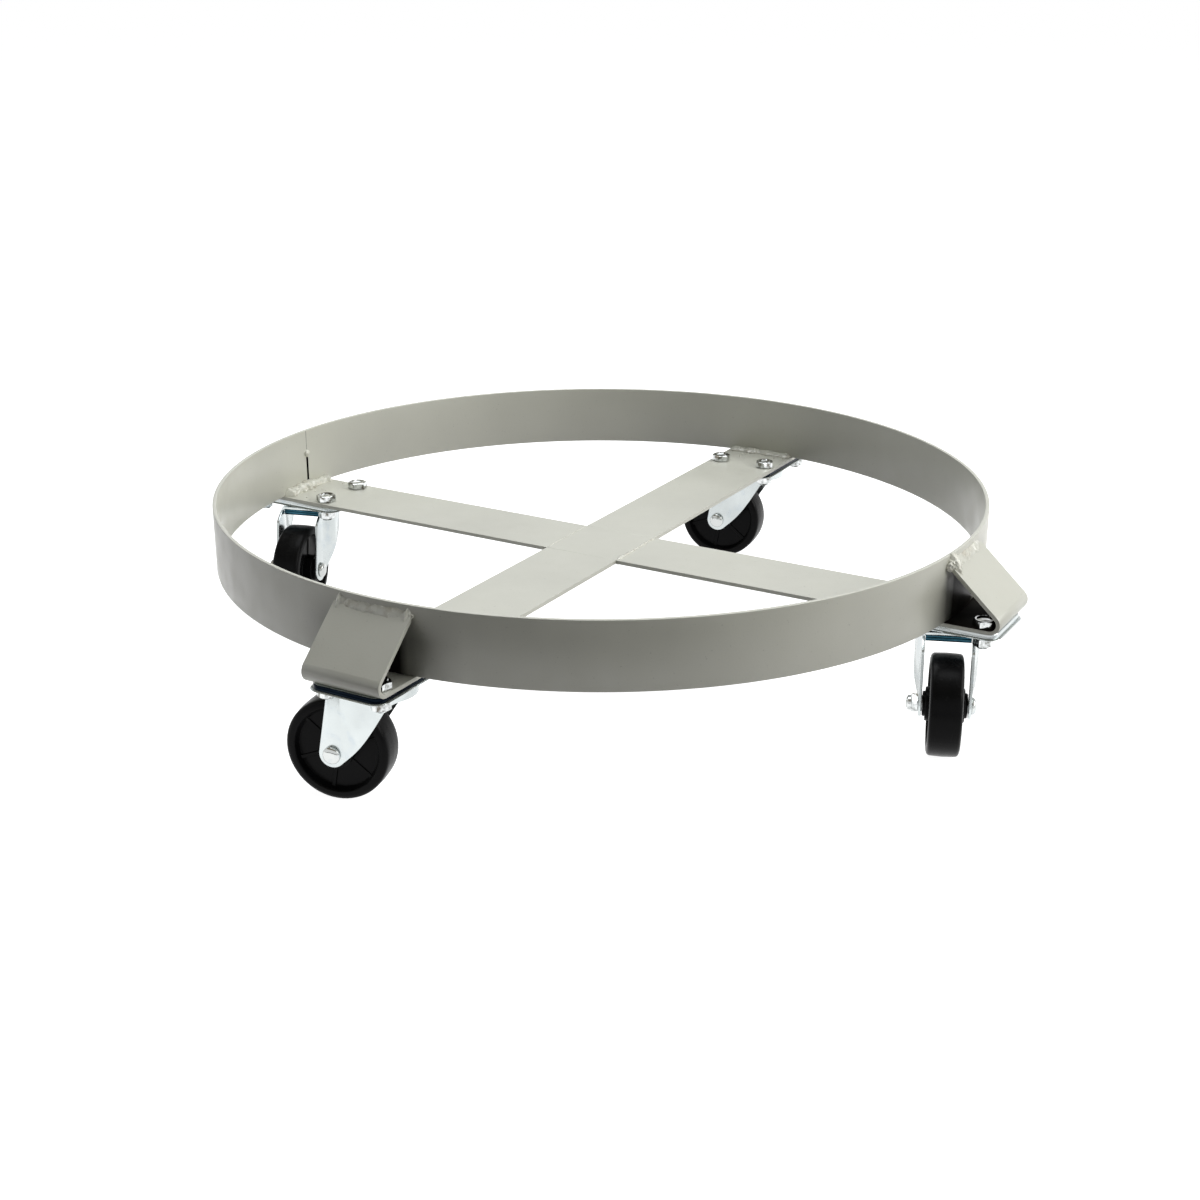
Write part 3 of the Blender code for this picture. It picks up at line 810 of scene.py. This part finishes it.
# The axle's domed head starts here, measured from the wheel's middle
DOME_START = 0.0193
DOME_RADIUS = 0.0064
DOME_STEPS = 9
LOCK_NUT_EDGE = 0.0061
LOCK_NUT_COLLAR = (0.0026, 0.0056)
LOCK_NUT_BORE = 0.0043


def hex_ring(flats, height, rise=0.0, least=0.0):
    """A hexagon ring of FINE points.  Beyond the least radius it rises, or falls, towards its corners."""
    points = []
    for step in range(FINE):
        angle = 2.0 * pi * step / FINE
        from_flat = (angle + pi / 6.0) % (pi / 3.0) - pi / 6.0
        reach = flats / 2.0 / cos(from_flat)
        z = height + rise * max(0.0, reach - least)
        points.append(Vector((reach * cos(angle), reach * sin(angle), z)))
    return points


def mount_bolt(number, corner, material):
    """A bolt through arm and plate: dished hexagon head above, nut and three threads below."""
    name = f"mount_bolt_{corner}_{number}"
    low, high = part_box(name)
    centre = (low + high) / 2.0
    place = arm_place(corner)
    stopped = radians(17.0 * number + 23.0 * CORNERS.index(corner))
    turn = atan2(place[1][0], place[0][0]) + stopped
    head_low, head_edge = SEAT_Z + HEAD_GAP, HEAD_FLATS * CHAMFER
    nut_low, nut_top = low.z + NUT_RISE[0], low.z + NUT_RISE[1]
    nut_edge = NUT_FLATS * CHAMFER
    rings = [circle(BOLT_SHANK * 0.82, low.z, FINE)]
    for thread in range(3):
        z = low.z + 0.0003 + THREAD * thread
        rings += [circle(BOLT_SHANK, z, FINE), circle(BOLT_SHANK * 0.93, z + 0.0003, FINE)]
    rings += [
        circle(BOLT_SHANK, nut_low - 0.00005, FINE),
        circle(BOLT_SHANK * 1.05, nut_low + 0.0002, FINE),
        circle(nut_edge, nut_low, FINE),
        hex_ring(NUT_FLATS, nut_low, 0.5, nut_edge),
        hex_ring(NUT_FLATS, nut_top, -0.5, nut_edge),
        circle(nut_edge, nut_top, FINE),
        circle(BOLT_SHANK, nut_top, FINE),
        circle(BOLT_SHANK, head_low, FINE),
        circle(head_edge, head_low, FINE),
        circle(head_edge, head_low + 0.0003, FINE),
        hex_ring(HEAD_FLATS, head_low + 0.00045),
        hex_ring(HEAD_FLATS, high.z, -0.5, head_edge),
        circle(head_edge, high.z, FINE),
        circle(head_edge * 0.86, high.z - 0.0001, FINE),
        circle(head_edge * 0.74, high.z - 0.0010, FINE),
        circle(head_edge * 0.20, high.z - 0.0008, FINE),
    ]
    shape = skinned(rings)
    spot = Matrix.Translation((centre.x, centre.y, 0.0)) @ Matrix.Rotation(turn, 4, "Z")
    made = to_object(f"bolt_{corner}_{number}", shape, material, "frame", spot, 30.0)
    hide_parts(name)


def about_y(rings):
    """Rings turned round Z, laid along the axle."""
    turn = Matrix.Rotation(-pi / 2.0, 4, "X")
    return [[turn @ point for point in ring] for ring in rings]


def axle_head(corner, material):
    """The axle bolt with its domed head on the +Y side."""
    hub = hub_place(corner)
    low, high = local_box("axle_bolt_" + corner, hub)
    rings = [
        circle(BOLT_SHANK * 0.8, low.y, FINE),
        circle(BOLT_SHANK, low.y + 0.0006, FINE),
        circle(BOLT_SHANK, DOME_START, FINE),
        circle(DOME_RADIUS * 0.97, DOME_START, FINE),
        circle(DOME_RADIUS, DOME_START + 0.0003, FINE),
    ]
    foot = DOME_START + 0.0008
    for step in range(1, DOME_STEPS):
        angle = pi / 2.0 * step / DOME_STEPS
        rings.append(circle(DOME_RADIUS * cos(angle) ** 0.8, foot + (high.y - foot) * sin(angle), FINE))
    shape = skinned(about_y(rings))
    made = to_object("axle_head_" + corner, shape, material, "swivel_" + corner, hub, 45.0)
    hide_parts("axle_bolt_" + corner)


def lock_nut(corner, material):
    """The axle's nut on the -Y side, with the round collar that holds its locking ring."""
    hub = hub_place(corner)
    low, high = local_box("axle_nut_" + corner, hub)
    start, end = high.y, low.y
    collar, collar_radius = end + LOCK_NUT_COLLAR[0], LOCK_NUT_COLLAR[1]
    rings = [
        circle(LOCK_NUT_BORE, start, FINE),
        circle(LOCK_NUT_EDGE, start, FINE),
        hex_ring(NUT_FLATS, start, -0.5, LOCK_NUT_EDGE),
        hex_ring(NUT_FLATS, collar + 0.0004, 0.5, LOCK_NUT_EDGE),
        circle(LOCK_NUT_EDGE, collar + 0.0004, FINE),
        circle(collar_radius, collar, FINE),
        circle(collar_radius, end + 0.0009, FINE),
        circle(collar_radius - 0.0003, end + 0.0003, FINE),
        circle(collar_radius - 0.0007, end, FINE),
        circle(LOCK_NUT_BORE, end, FINE),
    ]
    shape = skinned(about_y(rings), closed=True)
    made = to_object("lock_nut_" + corner, shape, material, "swivel_" + corner, hub, 30.0)
    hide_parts("axle_nut_" + corner)


# -------- wheels

# Ribs on each face of a wheel: half width at the face and at the foot, and steps from one to the next
RIBS = 6
RIB_TOP = 0.0011
RIB_FOOT = 0.0016
BETWEEN = 10
# Distances of the web's face and of the ribs' face from the wheel's middle, and radii where the web ends
WEB = 0.0066
RIB_FACE = 0.0074
HUB_FOOT = 0.0128
RIM_FOOT = 0.0299
TREAD_HALF = 0.012
# The wheels stop turned by this much
WHEEL_TURN = 0.35


def rib_angles(radius):
    """Angles of a wheel ring: four points for each rib, and even steps between the ribs."""
    angles = []
    half_top, half_foot = asin(RIB_TOP / radius), asin(RIB_FOOT / radius)
    for rib in range(RIBS):
        middle = 2.0 * pi * rib / RIBS
        after = 2.0 * pi * (rib + 1) / RIBS
        angles += [(middle - half_foot, False), (middle - half_top, True)]
        angles += [(middle + half_top, True), (middle + half_foot, False)]
        for step in range(1, BETWEEN):
            start, end = middle + half_foot, after - half_foot
            angles.append((start + (end - start) * step / BETWEEN, False))
    return angles


def wheel_ring(radius, side, ribbed, at):
    """One ring of wheel points round the Y axis, with the angles that the ribs have at another radius."""
    points = []
    for angle, on_rib in rib_angles(at):
        y = ribbed if on_rib and ribbed is not None else side
        points.append(Vector((radius * cos(angle), y, radius * sin(angle))))
    return points


def wheel(corner, material):
    """Moulded wheel: hub, thin ribbed web, and a rim whose edges round over to the tread."""
    radius = caster_place(corner)[2]
    hub = (
        (0.0063, 0.0162), (0.0088, 0.0162), (0.0093, 0.0157), (0.0093, 0.0144), (0.0122, 0.0142),
        (0.0125, 0.0139), (0.0125, 0.0090),
    )
    rim = (
        (0.0308, 0.0108), (0.0313, 0.0116), (0.0318, TREAD_HALF), (0.0343, TREAD_HALF), (0.0352, 0.0117),
        (0.0364, 0.0113), (0.0373, 0.0104), (0.0377, 0.0094), (0.0379, 0.0060), (radius, 0.0006),
    )
    profile = [(reach, y, None, HUB_FOOT) for reach, y in hub]
    profile.append((HUB_FOOT, WEB + 0.0004, RIB_FACE + 0.0003, HUB_FOOT))
    profile += [(reach, WEB, RIB_FACE, reach) for reach in (0.0134, 0.0190, 0.0250, 0.0291)]
    profile.append((RIM_FOOT, WEB + 0.0008, RIB_FACE + 0.0004, RIM_FOOT))
    profile += [(reach, y, None, RIM_FOOT) for reach, y in rim]
    rings = [wheel_ring(*row) for row in profile]
    for reach, y, ribbed, at in reversed(profile):
        rings.append(wheel_ring(reach, -y, None if ribbed is None else -ribbed, at))
    shape = skinned(rings, closed=True)
    spot = hub_place(corner) @ Matrix.Rotation(WHEEL_TURN, 4, "Y")
    made = to_object("tyre_" + corner, shape, material, "wheel_" + corner, spot, 32.0)
    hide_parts("wheel_" + corner)


# -------- caster top

OUTLINE_STEPS = 8
PLATE_ROUND = 0.009
RACE_BORE = 0.0165
BALLS = 24


def rounded_outline(length, width, corner, z):
    points = []
    for turn, (sx, sy) in enumerate(((1, 1), (-1, 1), (-1, -1), (1, -1))):
        for step in range(OUTLINE_STEPS + 1):
            angle = pi / 2.0 * (turn + step / OUTLINE_STEPS)
            x = sx * (length / 2.0 - corner) + corner * cos(angle)
            y = sy * (width / 2.0 - corner) + corner * sin(angle)
            points.append(Vector((x, y, z)))
    return points


def top_plate(corner, zinc, band):
    """Pressed mounting plate: a glossy side wall over a thin bright lip.  The wall takes the second material, a
    near-black painted dark reflection where that is given.
    """
    spot = arm_place(corner) @ Matrix.Translation((swivel_spot(corner).length, 0.0, 0.0))
    low, high = local_box("caster_plate_" + corner, spot)
    length, width = high.x - low.x, high.y - low.y
    bottom, top = low.z, high.z
    shape = bmesh.new()
    steps = (
        (-0.0012, bottom, 0), (0.0008, bottom + 0.0001, 0), (0.0013, bottom + 0.0005, 0),
        (0.0009, bottom + 0.0010, 0), (-0.0007, bottom + 0.0012, 1), (-0.0009, top - 0.0008, 1),
        (-0.0014, top - 0.0001, 0), (-0.0022, top, 0),
    )
    rows = []
    for grow, z, _ in steps:
        outline = rounded_outline(length + 2 * grow, width + 2 * grow, PLATE_ROUND + grow, z)
        rows.append([shape.verts.new(point) for point in outline])
    shape.faces.new(rows[0])
    shape.faces.new(rows[-1])
    for (below, above), (_, _, which) in zip(zip(rows, rows[1:]), steps):
        for here in range(len(below)):
            after = (here + 1) % len(below)
            face = shape.faces.new((below[here], below[after], above[after], above[here]))
            face.material_index = which
    made = to_object("top_plate_" + corner, shape, [zinc, band], "frame", spot, 50.0)
    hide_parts("caster_plate_" + corner)


def ball_race(corner, teal, bright):
    """Two pressed cups with their balls between them."""
    place = caster_place(corner)[0]
    low, high = local_box("ball_race_" + corner, place)
    outer = high.x
    middle = (low.z + high.z) / 2.0
    shape = bmesh.new()
    upper = ((RACE_BORE, high.z), (RACE_BORE, middle + 0.0003), (outer - 0.0016, middle + 0.0003),
             (outer, middle + 0.0004), (outer + 0.0004, high.z - 0.0002), (outer + 0.0002, high.z))
    lower = ((RACE_BORE, low.z), (RACE_BORE, middle - 0.0003), (outer - 0.0026, middle - 0.0003),
             (outer - 0.0008, middle - 0.0004), (outer - 0.0002, low.z + 0.0002), (outer - 0.0006, low.z))
    for profile in (upper, lower):
        skin(shape, [circle(radius, z, 72) for radius, z in profile], closed=True)
    made = to_object("race_cups_" + corner, shape, teal, "frame", place, 35.0)
    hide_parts("ball_race_" + corner)
    shape = bmesh.new()
    for spot in circle(outer - 0.0022, middle, BALLS):
        bmesh.ops.create_icosphere(shape, subdivisions=2, radius=0.0008, matrix=Matrix.Translation(spot))
    made = to_object("race_balls_" + corner, shape, bright, "frame", place, 80.0)


# -------- yoke

EYE = 0.0095
SHEET = 0.0021
BEND = 0.0032
BACK = 0.0235
LEG_Y = 0.0190
TAPER = (0.004, 0.0245)
SHOULDER = (0.0355, 0.0800)
KNEE = (-0.0100, 0.0792)
SKIRT_Z = 0.0822

# The lip under the crown's front: height, swell, and its profile from the top down
LIP_HEIGHT = 0.0052
LIP_SWELL = 0.0012
LIP_PROFILE = (
    (0.0, 0.0), (0.06, 0.5), (0.22, 0.9), (0.30, 0.25), (0.38, 0.25), (0.46, 0.9),
    (0.62, 1.0), (0.70, 0.35), (0.78, 0.35), (0.86, 0.8), (0.96, 0.6), (1.0, 0.0),
)


def yoke_width(x):
    if x < 0.0:
        return sqrt(max(0.0, BACK ** 2 - x ** 2))
    share = min(max((x - TAPER[0]) / (TAPER[1] - TAPER[0]), 0.0), 1.0)
    return BACK + (LEG_Y - BACK) * share * share * (3.0 - 2.0 * share)


def yoke_low(x, trail, height):
    """Lower edge: round the eye, up a hollow back edge to the knee, then along the skirt."""
    leave = radians(-138.0)
    eye_x, eye_z = trail + EYE * cos(leave), height + EYE * sin(leave)
    if x >= eye_x:
        return height - sqrt(max(0.0, EYE ** 2 - (x - trail) ** 2))
    if x >= KNEE[0]:
        share = (eye_x - x) / (eye_x - KNEE[0])
        return eye_z + (KNEE[1] - eye_z) * (share - 0.10 * sin(pi * share))
    share = (KNEE[0] - x) / (BACK + KNEE[0])
    return KNEE[1] + (SKIRT_Z - KNEE[1]) * sin(pi / 2.0 * min(1.0, 1.6 * share))


def yoke_high(x, trail, height, crown):
    if x <= TAPER[1]:
        return crown - BEND
    if x <= SHOULDER[0]:
        share = (x - TAPER[1]) / (SHOULDER[0] - TAPER[1])
        return crown - BEND + (SHOULDER[1] - crown + BEND) * share ** 1.3
    share = (x - SHOULDER[0]) / (trail + EYE - SHOULDER[0])
    return SHOULDER[1] + (height + 0.001 - SHOULDER[1]) * share


def yoke(corner, zinc):
    """Pressed swivel fork: a dished crown, round bends and two legs, one sheet all over."""
    place, trail, height = caster_place(corner)
    _, high = local_box("fork_" + corner, place)
    crown = high.z
    front = [trail + EYE * sin(radians(angle)) for angle in range(90, -46, -9)]
    front += [SHOULDER[0] + (TAPER[1] - SHOULDER[0]) * step / 5.0 for step in range(6)]
    front += [TAPER[1] * (1.0 - step / 10.0) for step in range(1, 11)]
    eye_end = trail + EYE * sin(radians(-45.0))
    front = sorted({round(x, 6) for x in front if x < SHOULDER[0] or x > eye_end - 1e-6}, reverse=True)
    path = [(x, yoke_width(x)) for x in front]
    turns = [pi / 2.0 + pi * step / 24.0 for step in range(1, 24)]
    path += [(BACK * cos(turn), BACK * sin(turn)) for turn in turns] + [(x, -y) for x, y in reversed(path)]
    shape = bmesh.new()
    low = [shape.verts.new((x, y, yoke_low(x, trail, height))) for x, y in path]
    top = [shape.verts.new((x, y, yoke_high(x, trail, height, crown))) for x, y in path]
    for here in range(len(path) - 1):
        shape.faces.new((top[here], low[here], low[here + 1], top[here + 1]))
    over = [index for index, (x, y) in enumerate(path) if x <= TAPER[1] + 1e-6]
    rows = [[top[index] for index in over]]
    for angle in (15.0, 30.0, 45.0, 60.0, 75.0, 90.0):
        inset = BEND * (1.0 - cos(radians(angle)))
        z = crown - BEND + BEND * sin(radians(angle))
        row = []
        for index in over:
            x, y = path[index]
            share = (BACK - inset) / BACK
            spot = (x * share, y * share, z) if x < 0.0 else (x, y - inset if y > 0.0 else y + inset, z)
            row.append(shape.verts.new(spot))
        rows.append(row)
    for lower, upper in zip(rows, rows[1:]):
        for here in range(len(lower) - 1):
            shape.faces.new((upper[here], lower[here], lower[here + 1], upper[here + 1]))
    shape.faces.new(rows[-1])
    made = to_object("yoke_" + corner, shape, zinc, "swivel_" + corner)
    thick = made.modifiers.new("sheet", "SOLIDIFY")
    thick.thickness, thick.offset, thick.use_even_offset = SHEET, -1.0, True
    soft = made.modifiers.new("edges", "BEVEL")
    soft.width, soft.segments, soft.limit_method, soft.angle_limit = 0.00035, 2, "ANGLE", radians(50.0)
    graph = bpy.context.evaluated_depsgraph_get()
    whole = bpy.data.meshes.new_from_object(made.evaluated_get(graph))
    made.modifiers.clear()
    made.data = whole
    whole.transform(place)
    whole.shade_smooth()
    whole.set_sharp_from_angle(angle=radians(40.0))
    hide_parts("fork_" + corner)


def crown_lip(corner, material):
    """Grooved lip across the yoke's front, between its legs."""
    place = caster_place(corner)[0]
    top = local_box("fork_" + corner, place)[1].z - SHEET - 0.0001
    half = LEG_Y - SHEET - 0.0003
    front, back = TAPER[1] - 0.0020, TAPER[1] - 0.0032
    outline = [(front + LIP_SWELL * out, top - LIP_HEIGHT * share) for share, out in LIP_PROFILE]
    outline += [(back, outline[-1][1]), (back, outline[0][1])]
    shape = skinned([[Vector((x, side * half, z)) for x, z in outline] for side in (-1.0, 1.0)])
    made = to_object("crown_lip_" + corner, shape, material, "swivel_" + corner, place, 50.0)


# -------- pieces refined from CAD nodes

def fold_inside(mesh, corners):
    """Give the faces inside each fold the second material, a near-black painted shade.

    The seat's end inside the fold takes it only where the photograph shows it so, at the front right.
    """
    for corner in corners:
        place = arm_place(corner)
        back = place.inverted()
        turned = back.to_3x3()
        for face in mesh.polygons:
            centre, normal = back @ face.center, turned @ face.normal
            leans_in = normal.x < -0.1 or (normal.x < 0.5 and normal.z < -0.3)
            above = centre.x > RING_RADIUS + 0.0003 and centre.z > SEAT_Z + 0.0002 and leans_in
            on_seat = centre.x > RING_RADIUS - UNDER_RING and abs(centre.z - SEAT_Z) < 0.0003
            if abs(normal.y) < 0.5 and (above or (on_seat and normal.z > 0.9 and corner == "fr")):
                face.material_index = 1


def refined(node, name, material, body, edge, folds=()):
    """A CAD node's own shape with its facets joined, its sharp edges rounded and smooth shading.

    Each bar in folds is also cut across under the ring's wall, so its fold can take its own painted shade.
    """
    shape = bmesh.new()
    shape.from_mesh(NODES[node].data)
    bmesh.ops.remove_doubles(shape, verts=shape.verts, dist=0.00001)
    bmesh.ops.dissolve_limit(
        shape, angle_limit=radians(0.5), verts=shape.verts, edges=shape.edges, use_dissolve_boundaries=False
    )
    sharp = [one for one in shape.edges if one.is_manifold and one.calc_face_angle() > radians(30.0)]
    bmesh.ops.bevel(
        shape, geom=sharp, offset=edge, segments=2, profile=0.5, affect="EDGES", clamp_overlap=True
    )
    for corner in folds:
        place = arm_place(corner)
        bmesh.ops.bisect_plane(
            shape, geom=shape.verts[:] + shape.edges[:] + shape.faces[:],
            plane_co=place @ Vector((RING_RADIUS - UNDER_RING, 0.0, 0.0)),
            plane_no=place.to_3x3() @ Vector((1.0, 0.0, 0.0)),
        )
    made = to_object(name, shape, material, body, smooth=30.0)
    for face in made.data.polygons:
        face.use_smooth = face.area < FLAT_AREA
    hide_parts(node)
    return made


def ring_strip(material):
    """The ring: a rolled strip with rounded edges, open at the foot of its seam."""
    corners = (
        (RING_INNER + RING_EDGE, RING_BOTTOM + RING_EDGE, 180.0),
        (RING_RADIUS - RING_EDGE, RING_BOTTOM + RING_EDGE, 270.0),
        (RING_RADIUS - RING_EDGE, RING_TOP - RING_EDGE, 0.0),
        (RING_INNER + RING_EDGE, RING_TOP - RING_EDGE, 90.0),
    )
    section = [
        (x + RING_EDGE * cos(radians(start + turn)), z + RING_EDGE * sin(radians(start + turn)))
        for x, z, start in corners for turn in (0.0, 30.0, 60.0, 90.0)
    ]
    shape = skinned([circle(radius, z, RING_SIDES) for radius, z in section], closed=True)
    ring = to_object("ring_strip", shape, material, "frame")
    shape = bmesh.new()
    bmesh.ops.create_cube(shape, size=1.0)
    size = (4.0 * RING_WALL, SLIT_WIDTH, 2.0 * (SEAM_TOP - RING_BOTTOM))
    bmesh.ops.scale(shape, vec=size, verts=shape.verts)
    middle = RING_RADIUS - RING_WALL / 2.0
    place = Matrix.Translation((middle * cos(SEAM_ANGLE), middle * sin(SEAM_ANGLE), RING_BOTTOM))
    cutter = to_object("slit", shape, material, "frame", place @ Matrix.Rotation(SEAM_ANGLE, 4, "Z"))
    cut = ring.modifiers.new("slit", "BOOLEAN")
    cut.operation, cut.solver, cut.object = "DIFFERENCE", "EXACT", cutter
    graph = bpy.context.evaluated_depsgraph_get()
    whole = bpy.data.meshes.new_from_object(ring.evaluated_get(graph))
    ring.modifiers.remove(cut)
    ring.data = whole
    bpy.data.objects.remove(cutter)
    whole.shade_smooth()
    whole.set_sharp_from_angle(angle=radians(40.0))
    # The slit's walls take the second material, a near-black painted shade
    for face in whole.polygons:
        if abs(face.normal @ SEAM_ALONG) > 0.8 and (face.center - SEAM_OUT * middle).xy.length < 0.01:
            face.material_index = 1
    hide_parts("ring_band")


def main():
    make_stage()
    paint = painted_steel("satin_paint")
    ring_paint = painted_steel("ring_paint", pocket_shading=True)
    # Beads take the paint made lighter, a painted highlight on the lumps, with heat tint mixed in
    bead_paint = painted_steel("bead_paint", shade(PAINT, 1.16), (0.20, 0.34, 120.0), tint=0.35)
    seam_dark = painted_steel("seam_shadow", shade(PAINT, 0.25), (0.5, 0.7, 90.0))
    zinc = zinc_plate("zinc", (0.595, 0.635, 0.635), (0.16, 0.30, 45.0))
    bright = bright_zinc()
    polished = zinc_plate("polished_zinc", (0.60, 0.62, 0.61), (0.06, 0.14, 90.0))
    # Painted dark reflection: near-black with a blue tint, for plate side walls
    band = dark_metal_and_painted_shade("painted_reflection_edge", (0.006, 0.010, 0.017), (0.12, 0.20, 80.0))
    # Dark teal painted shade for the race cups and the crown's lip in the recess under the plate
    teal = dark_metal_and_painted_shade("teal_race_shade", (0.035, 0.115, 0.16), (0.16, 0.28, 80.0))
    # Painted shade: the near-black coat inside the folds and on the slit's walls
    fold_dark = painted_steel("painted_fold_shade", FOLD_SHADE, (0.60, 0.80, 70.0), gloss=FOLD_SHADE_GLOSS)
    plastic = black_plastic()
    sleeve = dark_metal_and_painted_shade("sleeve_steel", (0.42, 0.42, 0.43), (0.28, 0.42, 90.0))

    ring_strip([ring_paint, fold_dark])
    # Inside the folds the bars take the near-black painted shade
    for bar, ends in (("long", ("fl", "br")), ("half_bl", ("bl",)), ("half_fr", ("fr",))):
        made = refined("cross_bar_" + bar, "bar_" + bar, [paint, fold_dark], "frame", 0.0004, ends)
        fold_inside(made.data, ends)
    make_welds(bead_paint, seam_dark)
    for corner in CORNERS:
        swivel = "swivel_" + corner
        yoke(corner, zinc)
        # The lip and, below, the race cups take the dark teal painted shade
        crown_lip(corner, teal)
        refined("kingpin_" + corner, "king_pin_" + corner, zinc, "frame", 0.0002)
        refined("wheel_sleeve_" + corner, "sleeve_" + corner, sleeve, swivel, 0.0001)
        # Near-black painted dark reflection on the side walls of the front left and back right plates
        top_plate(corner, zinc, band if corner in ("fl", "br") else zinc)
        ball_race(corner, teal, bright)
        for number in range(1, 5):
            mount_bolt(number, corner, bright)
        axle_head(corner, polished)
        lock_nut(corner, bright)
        wheel(corner, plastic)


main()
